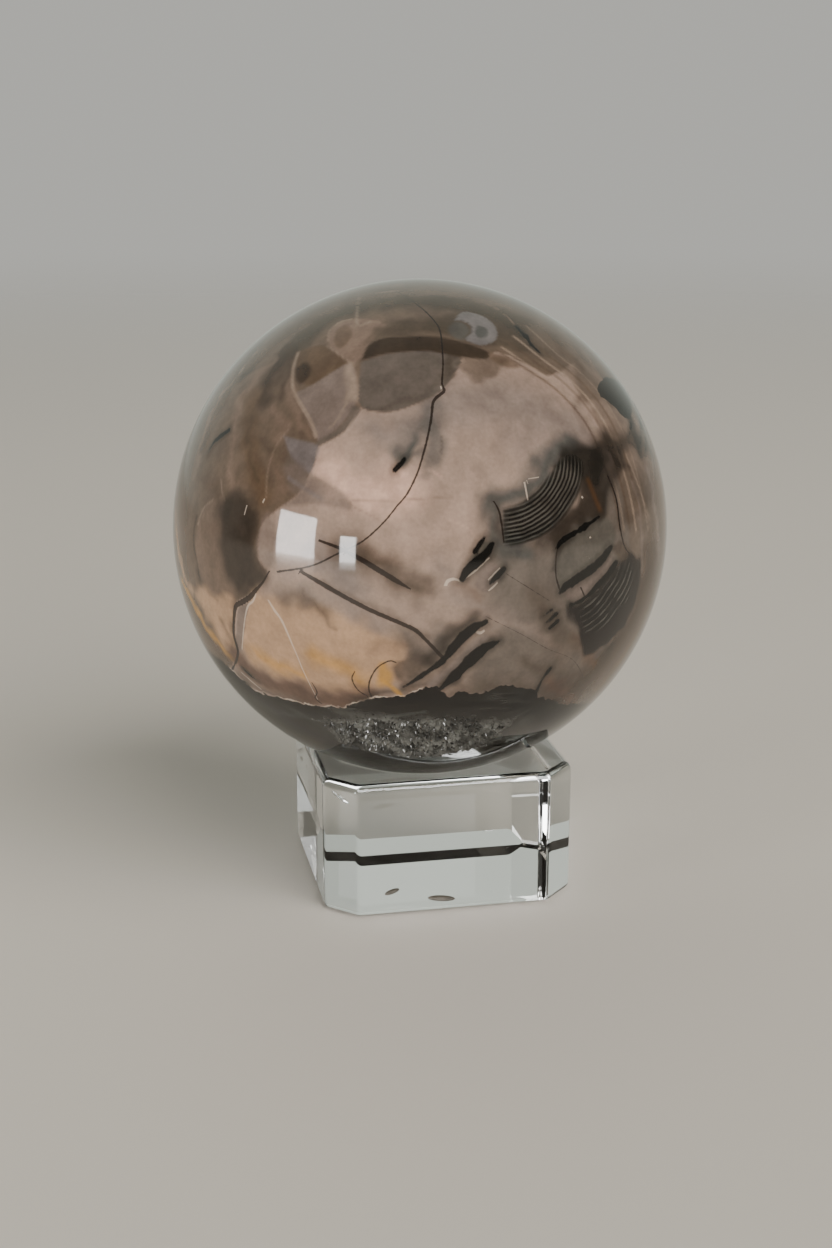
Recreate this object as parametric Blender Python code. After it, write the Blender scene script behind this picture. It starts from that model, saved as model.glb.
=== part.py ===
# A polished stone sphere that rests in the dish of a clear glass block stand.
#
# Metres, +Z up. The origin is on the table, straight below the sphere's middle, and the front faces -Y.

import math

import bmesh
import bpy
from mathutils import Matrix, Vector

# The stone sphere
SPHERE_DIAMETER = 0.078
SPHERE_SUBDIVISIONS = 5

# The shallow hollow lined with crystals, low on the front of the sphere
HOLLOW_WIDTH = 0.029
HOLLOW_HEIGHT = 0.0125
HOLLOW_DEPTH = 0.0009
HOLLOW_ELEVATION = math.radians(-41)
HOLLOW_AZIMUTH = math.radians(-13)
HOLLOW_WALL_SHARE = 0.3
HOLLOW_WAVES = 7
HOLLOW_WAVE_SHARE = 0.045
HOLLOW_REFINED_SHARE = 1.25
HOLLOW_REFINEMENTS = 2

# The glass block
STAND_WIDTH = 0.040
STAND_DEPTH = 0.040
STAND_HEIGHT = 0.0215
CORNER_CHAMFER = 0.0047
TOP_ROUND = 0.0014
TOP_ROUND_SEGMENTS = 4
FOOT_BEVEL = 0.0007
BACK_FOOT_BEVEL = 0.0024
BACK_CUTTER_SPARE = 1.3
ROUND_PROFILE = 0.5
SAME_HEIGHT = 1e-7

# The dish in the block's top. It was ground a little to the left of the block's middle
DISH_OFFSET = 0.0015
DISH_LAND = 0.00045
DISH_CLEARANCE = 0.0003
DISH_SEGMENTS = 72
DISH_RINGS = 48

# What the dish and the sphere's place follow from
SPHERE_RADIUS = SPHERE_DIAMETER / 2
DISH_CURVE_RADIUS = SPHERE_RADIUS + DISH_CLEARANCE
DISH_RIM_RADIUS = min(STAND_WIDTH / 2 - DISH_OFFSET, STAND_DEPTH / 2) - TOP_ROUND - DISH_LAND
SPHERE_CENTRE_Z = STAND_HEIGHT + math.sqrt(DISH_CURVE_RADIUS**2 - DISH_RIM_RADIUS**2)

STONE_COLOUR = (0.36, 0.27, 0.23, 1.0)
STONE_ROUGHNESS = 0.12
GLASS_COLOUR = (0.92, 0.97, 0.95, 1.0)
GLASS_ROUGHNESS = 0.02
GLASS_REFRACTION = 1.5


def clear_scene():
    for obj in list(bpy.data.objects):
        bpy.data.objects.remove(obj, do_unlink=True)


def make_stone_material():
    material = bpy.data.materials.new("polished_stone")
    material.use_nodes = True
    shader = material.node_tree.nodes["Principled BSDF"]
    shader.inputs["Base Color"].default_value = STONE_COLOUR
    shader.inputs["Roughness"].default_value = STONE_ROUGHNESS
    shader.inputs["Metallic"].default_value = 0.0
    return material


def make_glass_material():
    material = bpy.data.materials.new("clear_glass")
    material.use_nodes = True
    shader = material.node_tree.nodes["Principled BSDF"]
    shader.inputs["Base Color"].default_value = GLASS_COLOUR
    shader.inputs["Roughness"].default_value = GLASS_ROUGHNESS
    shader.inputs["Metallic"].default_value = 0.0
    shader.inputs["Transmission Weight"].default_value = 1.0
    shader.inputs["IOR"].default_value = GLASS_REFRACTION
    return material


def add_object(name, mesh_in_work, material, location=(0, 0, 0)):
    mesh = bpy.data.meshes.new(name)
    mesh_in_work.to_mesh(mesh)
    mesh_in_work.free()
    if material is not None:
        mesh.materials.append(material)
    obj = bpy.data.objects.new(name, mesh)
    obj.location = location
    bpy.context.scene.collection.objects.link(obj)
    return obj


def direction(azimuth, elevation):
    """The way out of the sphere's middle; azimuth 0 is the front, -Y, and grows towards +X."""
    across = math.cos(elevation)
    return Vector((across * math.sin(azimuth), -across * math.cos(azimuth), math.sin(elevation)))


def hollow_share(point):
    """How far out a point of the sphere is in the hollow: 0 at the hollow's middle, 1 on its rim."""
    out = direction(HOLLOW_AZIMUTH, HOLLOW_ELEVATION)
    right = Vector((0, 0, 1)).cross(out).normalized()
    up = out.cross(right)
    way = point.normalized()
    if way.dot(out) <= 0:
        return math.inf
    across = SPHERE_RADIUS * math.asin(way.dot(right)) / (HOLLOW_WIDTH / 2)
    along = SPHERE_RADIUS * math.asin(way.dot(up)) / (HOLLOW_HEIGHT / 2)
    wander = 1 + HOLLOW_WAVE_SHARE * math.sin(HOLLOW_WAVES * math.atan2(along, across))
    return math.hypot(across, along) / wander


def hollow_depth(point):
    """A flat floor with a sloping wall that runs out at the rim."""
    up_the_wall = (1 - hollow_share(point)) / HOLLOW_WALL_SHARE
    return HOLLOW_DEPTH * min(max(up_the_wall, 0.0), 1.0)


def refine_hollow(mesh):
    """Smaller faces where the hollow is, so that its wall has a shape."""
    for _ in range(HOLLOW_REFINEMENTS):
        shares = {face: hollow_share(face.calc_center_median()) for face in mesh.faces}
        inside = [face for face in mesh.faces if shares[face] < HOLLOW_REFINED_SHARE]
        edges = {edge for face in inside for edge in face.edges}
        bmesh.ops.subdivide_edges(mesh, edges=list(edges), cuts=1, use_grid_fill=True)
        bmesh.ops.triangulate(mesh, faces=mesh.faces[:])


def make_sphere():
    mesh = bmesh.new()
    bmesh.ops.create_icosphere(mesh, subdivisions=SPHERE_SUBDIVISIONS, radius=SPHERE_RADIUS)
    refine_hollow(mesh)
    for vertex in mesh.verts:
        vertex.co = vertex.co.normalized() * (SPHERE_RADIUS - hollow_depth(vertex.co))
    sphere = add_object("stone_sphere", mesh, make_stone_material(), (0, 0, SPHERE_CENTRE_Z))
    sphere.data.shade_smooth()
    return sphere


def block_corners():
    """The block's outline from above: a square with its four corners cut off."""
    half_x = STAND_WIDTH / 2
    half_y = STAND_DEPTH / 2
    corners = []
    for side_x, side_y in ((1, 1), (-1, 1), (-1, -1), (1, -1)):
        pair = [
            (side_x * half_x, side_y * (half_y - CORNER_CHAMFER)),
            (side_x * (half_x - CORNER_CHAMFER), side_y * half_y),
        ]
        corners += pair if side_x == side_y else reversed(pair)
    return corners


def bevel_ring(mesh, height, width, segments):
    """Bevels the closed ring of edges that lies at this height."""
    level = [vertex for vertex in mesh.verts if abs(vertex.co.z - height) < SAME_HEIGHT]
    ring = [edge for edge in mesh.edges if all(vertex in level for vertex in edge.verts)]
    bevelled = bmesh.ops.bevel(
        mesh, geom=ring, offset=width, segments=segments, profile=ROUND_PROFILE, affect="EDGES"
    )
    for face in bevelled["faces"]:
        face.smooth = segments > 1


def add_cutter(name, mesh_in_work, location):
    """A shape that is only there to be taken out of the block."""
    cutter = add_object(name, mesh_in_work, None, location)
    cutter.hide_render = True
    cutter.display_type = "WIRE"
    return cutter


def make_dish_cutter():
    mesh = bmesh.new()
    bmesh.ops.create_uvsphere(
        mesh, u_segments=DISH_SEGMENTS, v_segments=DISH_RINGS, radius=DISH_CURVE_RADIUS
    )
    cutter = add_cutter("dish_cutter", mesh, (0, 0, SPHERE_CENTRE_Z))
    cutter.data.shade_smooth()
    return cutter


def make_back_foot_cutter():
    """A bar on its edge, along the foot of the block's back."""
    side = BACK_FOOT_BEVEL * math.sqrt(2) * BACK_CUTTER_SPARE
    length = STAND_WIDTH * BACK_CUTTER_SPARE
    mesh = bmesh.new()
    bmesh.ops.create_cube(mesh, size=1, matrix=Matrix.Diagonal((length, side, side, 1)))
    bmesh.ops.rotate(mesh, verts=mesh.verts, matrix=Matrix.Rotation(math.pi / 4, 3, "X"))
    out = side / 2 / math.sqrt(2)
    middle_y = STAND_DEPTH / 2 - BACK_FOOT_BEVEL / 2 + out
    return add_cutter("back_foot_cutter", mesh, (DISH_OFFSET, middle_y, BACK_FOOT_BEVEL / 2 - out))


def cut(stand, name, cutter):
    tool = stand.modifiers.new(name, "BOOLEAN")
    tool.operation = "DIFFERENCE"
    tool.solver = "EXACT"
    tool.object = cutter


def make_stand():
    mesh = bmesh.new()
    foot = mesh.faces.new([mesh.verts.new((x, y, 0)) for x, y in block_corners()])
    raised = bmesh.ops.extrude_face_region(mesh, geom=[foot])["geom"]
    top = [item for item in raised if isinstance(item, bmesh.types.BMVert)]
    bmesh.ops.translate(mesh, verts=top, vec=(0, 0, STAND_HEIGHT))
    bmesh.ops.recalc_face_normals(mesh, faces=mesh.faces[:])
    bevel_ring(mesh, STAND_HEIGHT, TOP_ROUND, TOP_ROUND_SEGMENTS)
    bevel_ring(mesh, 0.0, FOOT_BEVEL, 1)
    stand = add_object("glass_stand", mesh, make_glass_material(), (DISH_OFFSET, 0, 0))
    cut(stand, "dish", make_dish_cutter())
    cut(stand, "back_foot", make_back_foot_cutter())
    return stand


clear_scene()
make_sphere()
make_stand()
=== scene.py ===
import math

import bmesh
import bpy
import numpy as np
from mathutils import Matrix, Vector


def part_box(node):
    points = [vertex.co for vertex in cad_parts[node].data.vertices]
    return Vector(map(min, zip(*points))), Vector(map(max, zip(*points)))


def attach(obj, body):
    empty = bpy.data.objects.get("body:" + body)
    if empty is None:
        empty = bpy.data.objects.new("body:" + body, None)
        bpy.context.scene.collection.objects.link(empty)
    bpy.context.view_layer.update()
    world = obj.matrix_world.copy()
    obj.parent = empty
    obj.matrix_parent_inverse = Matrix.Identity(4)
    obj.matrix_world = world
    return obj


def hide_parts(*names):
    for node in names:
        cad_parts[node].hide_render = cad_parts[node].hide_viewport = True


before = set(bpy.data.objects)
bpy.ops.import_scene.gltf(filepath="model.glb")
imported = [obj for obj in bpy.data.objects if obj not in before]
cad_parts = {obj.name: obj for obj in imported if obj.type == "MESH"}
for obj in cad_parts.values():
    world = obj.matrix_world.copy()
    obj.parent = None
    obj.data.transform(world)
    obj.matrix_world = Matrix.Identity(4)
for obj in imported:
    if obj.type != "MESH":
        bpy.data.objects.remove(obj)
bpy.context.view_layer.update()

# The camera that took the photograph, as fitted to the block's corners and the ball's outline
PHOTO_WIDTH = 832
PHOTO_HEIGHT = 1248
SENSOR_MM = 36.0
LENS_MM = 51.9
CAMERA_AZIMUTH = math.radians(-11.5)
CAMERA_ELEVATION = math.radians(15.5)
CAMERA_DISTANCE = 0.2909
CAMERA_SIDESTEP = -0.0006
CAMERA_AIM_HEIGHT = 0.0412
CLIP_START = 0.01

# The ball and the block, where the frame has them
BALL_LOW, BALL_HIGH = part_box("stone_sphere")
BALL_CENTRE = (BALL_LOW + BALL_HIGH) / 2
BALL_RADIUS = (BALL_HIGH.x - BALL_LOW.x) / 2
BALL_MM = BALL_RADIUS * 1000
BLOCK_LOW, BLOCK_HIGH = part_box("glass_stand")

# How the marks lie on the ball: lengths along the stone, and the size of a pixel there
PIXEL_MM = 0.158
PAST_THE_LIMB_MM = 45.0
REACH_MM = 7.0
FAR_MM = 60.0
THIN_REACH_MM = 0.7
BACK_THIN_REACH_MM = 2.0
WOBBLE_SIZE_MM = 2.6
FRONT_WOBBLE_MM = 0.3
BACK_WOBBLE_MM = 0.5
SHORE_RIPPLE_MM = 1.1
# Painted shade round the limb: where it starts and ends, in mm along the stone from the front, how strong it
# is, and the size of its patches
LIMB_SHADE_STARTS_MM = (40.0, 56.0)
LIMB_SHADE_ENDS_MM = (62, 82)
LIMB_SHADE_STRENGTH = 0.72
LIMB_SHADE_PATCH_MM = 16.0

# Layers whose edge is softer than this many pixels wander a little
SMOKY_SOFTNESS = 6

# The width that stands for a closed outline
AREA = None

# Where the marks of the back begin and the veil grows, as cosines from straight behind
BEHIND_FROM = 0.35
VEIL_GROWS = (-0.15, 0.35)

# Where the painted highlight along the ragged edge, the crystals and the threads round them fade out. The
# last two are shares of the hollow
SHORE_HIGHLIGHT_FADES_MM = (0.8, 2.0)
DRUSE_FADES = (0.6, 1.2)
THREAD_FADES = (1.0, 2.0)
THREAD_LOSS = 0.85

# The hollow with the crystals, as in the solid
HOLLOW_WIDTH_MM = 29.0
HOLLOW_HEIGHT_MM = 12.5
HOLLOW_DEPTH_MM = 0.9
HOLLOW_ELEVATION = math.radians(-41)
HOLLOW_AZIMUTH = math.radians(-13)
HOLLOW_WALL_SHARE = 0.3
HOLLOW_WAVES = 7
HOLLOW_WAVE_SHARE = 0.045
CRYSTAL_SEED = 11
CRYSTAL_SPACING_MM = 0.55
CRYSTAL_SHIFT = 0.45
CRYSTAL_TOP_MM = (0.3, 0.75)
CRYSTAL_STEEPNESS = (0.8, 1.6)
CRYSTAL_LEAN = 0.35
CRYSTAL_REACH_MM = 1.2
CRYSTAL_EDGE_SHARE = 0.97

# How deep the stone's tone is against the colours below, under these lights
STONE_DEPTH = 0.68

# The block's edges, as in the solid
CORNER_CHAMFER = 0.0047
TOP_ROUND = 0.0014
FOOT_BEVEL = 0.0007
BACK_FOOT_BEVEL = 0.0024
DISH_CLEARANCE = 0.0003

# Finer than the solid: the rounded upright edges, the steps of each rounding, and the flat strip beside it
UPRIGHT_ROUND = 0.0013
UPRIGHT_STEPS = 6
TOP_STEPS = 10
FOOT_STEPS = 2
FLAT_STRIP = 0.00005
SHARP_ANGLE = math.radians(20)

# Segments and rings of the cutters for the dish and the chips
DISH_STEPS = (192, 128)
CHIP_STEPS = (24, 16)

# Chips and bruises in the block, each with its middle, half widths, tilt and turn
CHIPS = (
    ((-0.0162, -0.0177, 0.0193), (0.0018, 0.0005, 0.0004), 0.43, -math.pi / 4),
    ((0.0068, -0.02, 0.0128), (0.0010, 0.0001, 0.0001), 0.0, 0.0),
)
BRUISES = (
    ((-0.0085, -0.02, 0.0038), (0.0012, 0.0005, 0.0004), -0.3, 0.0),
    ((-0.0006, -0.02, 0.0020), (0.0022, 0.0005, 0.0005), 0.12, 0.0),
)

# Air under the block, without which its foot would not mirror
FLOOR_GAP = 0.0003
FLOOR_RADIUS = 6.0
FLOOR_FADE_FROM = 0.25
FLOOR_FADE_TO = 1.6

# How finely the ball is meshed
BALL_SUBDIVISIONS = 6
SIDE_CAP = math.radians(95)
FRONT_CAP = math.radians(60)
DRUSE_REFINEMENTS = 2
DRUSE_REFINED_SHARE = 1.05

# How the stone and the glass bend light, and the tones of the glass and of its flaws
STONE_IOR = 1.54
GLASS_IOR = 1.5
GREENISH_GLASS = (0.955, 0.985, 0.975)
CLEAR_GLASS = (0.985, 0.995, 0.99)
BRUISE_DARK = (0.03, 0.025, 0.02)
BRUISE_PALE = (0.2, 0.18, 0.15)

# Lights: how far away they are, their colours, and where the ball mirrors the two on the left
NEAR = 0.9
FAR = 3.0
WHITE = (1.0, 1.0, 1.0)
KEY_WHITE = (1.0, 0.99, 0.97)
FILL_WHITE = (1.0, 0.98, 0.95)
KEY_PIXEL = (297, 552)
SMALL_KEY_PIXEL = (349, 553)


def srgb(red, green, blue):
    """A colour as the eye reads it, 0 to 255, as linear light."""
    shares = [value / 255 for value in (red, green, blue)]
    return tuple(s / 12.92 if s <= 0.04045 else ((s + 0.055) / 1.055) ** 2.4 for s in shares)


# Colours of the stone
LIGHT_STONE = srgb(180, 154, 137)
# PINK_GLOW and WARM_GLOW paint a glow of light on the pale stone, and a few of its thin streaks
PINK_GLOW = srgb(238, 196, 173)
WARM_GLOW = srgb(197, 168, 149)
PALE_CREAM = srgb(178, 154, 134)
PALE_GREY = srgb(148, 131, 121)
FEATHER_GREY = srgb(108, 102, 96)
SHADED_STONE = srgb(116, 105, 95)
TAUPE = srgb(112, 94, 79)
WARM_TAUPE = srgb(140, 116, 100)
GREY_TAUPE = srgb(133, 116, 106)
OVAL_GREY = srgb(110, 99, 90)
LAVENDER = srgb(132, 122, 120)
HOOK_GREY = srgb(128, 121, 118)
OLIVE = srgb(76, 65, 51)
OLIVE_STREAK = srgb(102, 81, 62)
# DARK_OLIVE is the stone's own dark olive, and also the painted shade round the limb and over the lower right
DARK_OLIVE = srgb(68, 52, 39)
COLUMN_BROWN = srgb(70, 60, 51)
BROWN_LINE = srgb(96, 76, 60)
ARC_BROWN = srgb(66, 53, 41)
ORANGE_BROWN = srgb(110, 74, 44)
PEACH = srgb(206, 166, 130)
AMBER = srgb(206, 154, 84)
STRONG_AMBER = srgb(214, 160, 80)
PLUM_BROWN = srgb(106, 82, 68)
SMOKE = srgb(44, 40, 34)
BROWN_SMOKE = srgb(88, 74, 62)
COOL_SMOKE = srgb(92, 90, 85)
LEAF_GREY = srgb(102, 96, 87)
FAN_GREY = srgb(54, 53, 48)
FAN_PLUM = srgb(42, 36, 33)
RIB_GREY = srgb(104, 102, 94)
INK = srgb(17, 16, 14)
BLOB_GREY = srgb(24, 24, 20)
CRACK_BROWN = srgb(36, 29, 25)
# WHITE_LINE paints the stone's pale lines, and also painted glints and the painted highlight along the ragged
# edge
WHITE_LINE = srgb(206, 188, 170)
BASE_DARK = srgb(32, 28, 24)
BASE_BLACK = srgb(8, 8, 7)
BASE_WAVE = srgb(86, 89, 84)
BASE_STRAND = srgb(88, 88, 82)
DRUSE_GREY = srgb(112, 112, 107)
DRUSE_DARK = srgb(52, 52, 49)

# Floor, backdrop and studio: where the studio is brightest, and its tones from the dim side to the bright one
PALE_FLOOR = srgb(214, 206, 195)
BACKDROP = srgb(206, 205, 199)
BACKDROP_STRENGTH = 0.8
STUDIO_LEAN = (-0.1, 0.95, 0.25)
STUDIO_TONES = ((0.15, srgb(58, 58, 56)), (0.9, srgb(208, 213, 203)))
STUDIO_STRENGTH = 1.05


# Objects


def add_object(name, data):
    """Puts a new object with this mesh, light or camera in the scene."""
    obj = bpy.data.objects.new(name, data)
    bpy.context.scene.collection.objects.link(obj)
    return obj


def mesh_data(name, mesh):
    """Turns a mesh in work into the data of an object."""
    data = bpy.data.meshes.new(name)
    mesh.to_mesh(data)
    mesh.free()
    return data


# The camera


def camera_axes():
    """The camera's place and its right, up and backward directions."""
    across = math.cos(CAMERA_ELEVATION)
    back = Vector(
        (math.sin(CAMERA_AZIMUTH) * across, -math.cos(CAMERA_AZIMUTH) * across, math.sin(CAMERA_ELEVATION))
    )
    right = Vector((math.cos(CAMERA_AZIMUTH), math.sin(CAMERA_AZIMUTH), 0))
    up = back.cross(right)
    eye = back * CAMERA_DISTANCE + right * CAMERA_SIDESTEP + Vector((0, 0, CAMERA_AIM_HEIGHT))
    return eye, right, up, back


EYE, CAMERA_RIGHT, CAMERA_UP, CAMERA_BACK = camera_axes()
FOCAL_PIXELS = LENS_MM / SENSOR_MM * PHOTO_HEIGHT


def make_camera():
    data = bpy.data.cameras.new("camera")
    data.sensor_width = SENSOR_MM
    data.lens = LENS_MM
    data.clip_start = CLIP_START
    camera = add_object("camera", data)
    camera.location = EYE
    camera.rotation_euler = (-CAMERA_BACK).to_track_quat("-Z", "Y").to_euler()
    bpy.context.scene.camera = camera


# Maps of the ball


def lay_flat(ways, middle):
    """Lays directions out flat around a middle one, true to their distance from it, in mm along the stone."""
    middle = np.array(middle)
    right = np.cross((0, 0, 1), middle)
    right /= np.linalg.norm(right)
    up = np.cross(middle, right)
    sideways = ways @ right
    upward = ways @ up
    away = np.hypot(sideways, upward)
    angle = np.arctan2(away, ways @ middle)
    stretch = angle * BALL_MM / np.maximum(away, 1e-9)
    return np.stack([sideways * stretch, upward * stretch], axis=1)


FRONT = np.array((EYE - BALL_CENTRE).normalized())
BEHIND = -FRONT * (1, 1, 0) / np.linalg.norm(FRONT[:2])


def ray_through(pixel):
    x = (pixel[0] - PHOTO_WIDTH / 2) / FOCAL_PIXELS
    y = (PHOTO_HEIGHT / 2 - pixel[1]) / FOCAL_PIXELS
    return (CAMERA_RIGHT * x + CAMERA_UP * y - CAMERA_BACK).normalized()


def way_at(pixel):
    """The direction out of the ball's middle that a pixel of the photograph shows, and how far it misses."""
    ray = ray_through(pixel)
    to_ball = BALL_CENTRE - EYE
    along = ray.dot(to_ball)
    nearest = ray * along - to_ball
    spare = BALL_RADIUS**2 - nearest.length_squared
    if spare <= 0:
        return nearest.normalized(), nearest.length / BALL_RADIUS - 1
    return (ray * (along - math.sqrt(spare)) - to_ball).normalized(), 0.0


def spots(pixels):
    """Pixels of the photograph on the flat front map. Those beside the ball go on round its limb."""
    found = []
    for pixel in pixels:
        way, miss = way_at(pixel)
        flat = lay_flat(np.array([way]), FRONT)[0]
        flat *= 1 + miss * PAST_THE_LIMB_MM / np.linalg.norm(flat)
        found.append(flat)
    return np.array(found)


def smooth_line(points, steps=6):
    """A line through the points without corners, and which point each of its places is at, in numbers."""
    if len(points) < 3:
        return points, np.arange(len(points), dtype=float)
    ends = np.vstack([2 * points[0] - points[1], points, 2 * points[-1] - points[-2]])
    line, numbers = [], []
    for i in range(1, len(ends) - 2):
        before, a, b, after = ends[i - 1 : i + 3]
        for t in np.arange(steps) / steps:
            bend = 2 * a + (b - before) * t + (2 * before - 5 * a + 4 * b - after) * t**2
            line.append((bend + (3 * a - before - 3 * b + after) * t**3) / 2)
            numbers.append(i - 1 + t)
    return np.array(line + [points[-1]]), np.array(numbers + [len(points) - 1.0])


def within_reach(flat, line):
    """Which flat points are near enough to a line for it to matter to them."""
    low = line.min(axis=0) - REACH_MM
    high = line.max(axis=0) + REACH_MM
    return ((flat > low) & (flat < high)).all(axis=1)


def beside(flat, line):
    """For each flat point: how far it is to the line's left or right, and where along the line, in pieces."""
    near = within_reach(flat, line)
    points = flat[near]
    best = np.full(len(points), FAR_MM)
    side = np.full(len(points), FAR_MM)
    place = np.zeros(len(points))
    for i in range(len(line) - 1):
        along = line[i + 1] - line[i]
        t = np.clip((points - line[i]) @ along / (along @ along), 0, 1)
        gap = points - (line[i] + t[:, None] * along)
        distance = np.hypot(gap[:, 0], gap[:, 1])
        nearer = distance < best
        best = np.where(nearer, distance, best)
        turn = np.sign(along[0] * gap[:, 1] - along[1] * gap[:, 0])
        side = np.where(nearer, turn * distance, side)
        place = np.where(nearer, i + t, place)
    all_sides = np.full(len(flat), FAR_MM)
    all_places = np.zeros(len(flat))
    all_sides[near] = side
    all_places[near] = place
    return all_sides, all_places


def outside(flat, outline):
    """How far each flat point is outside a closed outline, in mm, and below 0 inside it."""
    ring = np.vstack([outline, outline[:1]])
    side, _ = beside(flat, ring)
    near = within_reach(flat, ring)
    x, y = flat[near].T
    inside = np.zeros(len(x), bool)
    for (x0, y0), (x1, y1) in zip(ring[:-1], ring[1:]):
        if y0 == y1:
            continue
        crosses = (y > min(y0, y1)) & (y <= max(y0, y1))
        inside ^= crosses & (x < x0 + (y - y0) * (x1 - x0) / (y1 - y0))
    gap = np.abs(side)
    gap[near] = np.where(inside, -gap[near], gap[near])
    return gap


def soft_step(value, low, high):
    t = np.clip((value - low) / (high - low), 0, 1)
    return t * t * (3 - 2 * t)


def ripple(points, size, seed, waves=14):
    """A smooth random field with a spread of about 1, whose bumps are about this size, in mm."""
    draw = np.random.default_rng(seed)
    ways = draw.normal(size=(waves, points.shape[1]))
    ways /= np.linalg.norm(ways, axis=1, keepdims=True)
    rates = 2 * math.pi / (size * draw.uniform(0.7, 1.9, waves))
    phases = draw.uniform(0, 2 * math.pi, waves)
    total = np.sin((points @ ways.T) * rates + phases).sum(axis=1)
    return total / math.sqrt(waves / 2)


# Strokes and areas of the front, each by the pixels it runs through and its width there in pixels

INK_STROKES = {
    "lower_dash": ([(404, 687), (415, 680), (430, 670), (443, 661), (452, 649), (465, 635), (475, 627),
         (486, 622)], [2, 4, 5, 7, 9, 10, 9, 3]),
    "lowest_dash": ([(440, 689), (455, 676), (470, 660), (485, 648), (496, 643), (501, 640)], [4, 10, 12,
         10, 5, 1]),
    "dash_at_the_base": ([(536, 692), (542, 680), (548, 672), (554, 664)], [4, 4, 4, 1]),
    "middle_dash": ([(462, 579), (467, 571), (476, 563), (485, 555), (490, 547), (493, 543)], [5, 8, 8, 8,
         5, 1]),
    "middle_tick": ([(475, 552), (480, 544), (485, 537)], [3, 4, 1]),
    "middle_right_dash": ([(490, 583), (497, 576), (504, 569)], [3, 5, 3]),
    "leaf_top": ([(556, 549), (563, 540), (578, 531), (590, 523), (600, 516)], [2, 5, 6, 5, 2]),
    "leaf_foot": ([(560, 593), (567, 585), (580, 577), (592, 569), (603, 558), (611, 547)], [3, 7, 9, 10, 9,
         4]),
    "leaf_lower_dash": ([(571, 605), (585, 598), (597, 586), (608, 574), (616, 563)], [2, 4, 6, 8, 6]),
    "feather": ([(396, 470), (400, 465), (405, 459)], [4, 6, 3]),
    "left_mark": ([(209, 450), (215, 441), (222, 435), (229, 430)], [1, 3, 5, 3]),
    "left_tick": ([(241, 377), (247, 373), (253, 369)], [1.5, 3.5, 1.5]),
    "upper_specks": ([(516, 326), (521, 332), (525, 336)], [2, 2.5, 4]),
    "lower_specks": ([(526, 336), (531, 344), (540, 353)], [5, 3, 1.5]),
    "left_slash": ([(241, 667), (249, 674), (259, 682)], [2, 3.5, 1]),
    "left_lower_slash": ([(237, 674), (244, 681), (250, 685)], [1, 2.5, 1]),
    "upper_spot": ([(544, 616), (551, 610)], [2, 4]),
    "middle_spot": ([(547, 622), (556, 614)], [3, 4]),
    "lower_spot": ([(550, 628), (558, 621)], [3, 3]),
    "far_swirl": ([(634, 404), (640, 420), (641, 438), (639, 449)], [2, 3, 3, 1]),
    "near_swirl": ([(629, 410), (631, 424), (629, 436)], [3, 3, 1]),
    "last_swirl": ([(643, 428), (646, 440), (645, 454)], [1, 3, 1]),
    "corner_spot": ([(607, 651), (613, 644)], [3, 3]),
}

CRACKS = {
    "long_crack": ([(396, 291), (415, 303), (427, 313), (436, 323), (440, 331), (442, 345), (443, 365),
         (442, 383), (444, 391), (437, 397), (433, 403), (431, 420), (427, 440), (423, 455), (417, 474),
         (407, 494), (397, 506), (384, 522), (363, 541), (339, 553), (311, 566), (276, 572)], [0.8, 1.2,
         1.3, 1.6, 1.8, 1.6, 1.6, 1.8, 3, 3.2, 2.6, 2.2, 1.9, 1.8, 1.6, 1.5, 1.4, 1.4, 1.4, 1.6, 1.6, 2]),
    "left_vein": ([(270, 570), (263, 582), (256, 590), (250, 597), (243, 602), (236, 606), (234, 619),
         (234, 636), (238, 652), (235, 664), (231, 671)], [1.5, 2, 4, 6, 6.5, 5, 4, 3.5, 3.5, 3, 4]),
    "middle_vein": ([(300, 571), (324, 585), (345, 597), (370, 610), (400, 623), (415, 630), (426, 640),
         (444, 659)], [3, 4.5, 4.2, 4, 3.8, 4, 3, 3.6]),
    "upper_vein": ([(318, 540), (339, 548), (362, 560), (375, 568), (395, 580), (412, 590)], [2, 3, 4.5, 5,
         4.5, 1]),
    "leaf_side": ([(558, 545), (556, 559), (556, 576), (560, 591)], [1.4, 1.4, 1.4, 2]),
    "leaf_link": ([(580, 586), (585, 597)], [1.5, 1.5]),
    "amber_outline": ([(373, 699), (369, 690), (370, 680), (377, 668), (389, 661), (397, 663)], [1.6, 1.6,
         1.6, 1.4, 1.3, 1]),
    "amber_side": ([(355, 671), (352, 679), (358, 690), (369, 697)], [1, 1.3, 1.3, 1]),
    "plum_crack": ([(311, 681), (317, 692), (315, 698), (322, 704)], [0.8, 1.3, 1.3, 1]),
    "fan_end": ([(493, 500), (499, 511), (502, 527), (504, 543)], [1.2, 1.8, 1.8, 1]),
    "right_curve": ([(607, 474), (616, 498), (620, 527), (625, 547), (634, 560)], [1.2, 2.2, 2.2, 1.6, 1]),
    "faint_step": ([(505, 573), (529, 588), (550, 601)], [0.3, 0.5, 0.1]),
    "low_arc": ([(485, 616), (521, 634), (548, 649), (573, 660), (585, 680)], [0.1, 0.2, 0.2, 0.2, 0.1]),
    "limb_arc": ([(651, 540), (656, 570), (646, 610), (628, 645), (603, 672)], [0.7, 1.2, 1.2, 1.2, 0.8]),
}

# Pale lines of the stone, and two painted glints: dash_glint below the lower dash's tip and kink_glint at the
# crack's kink
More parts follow.
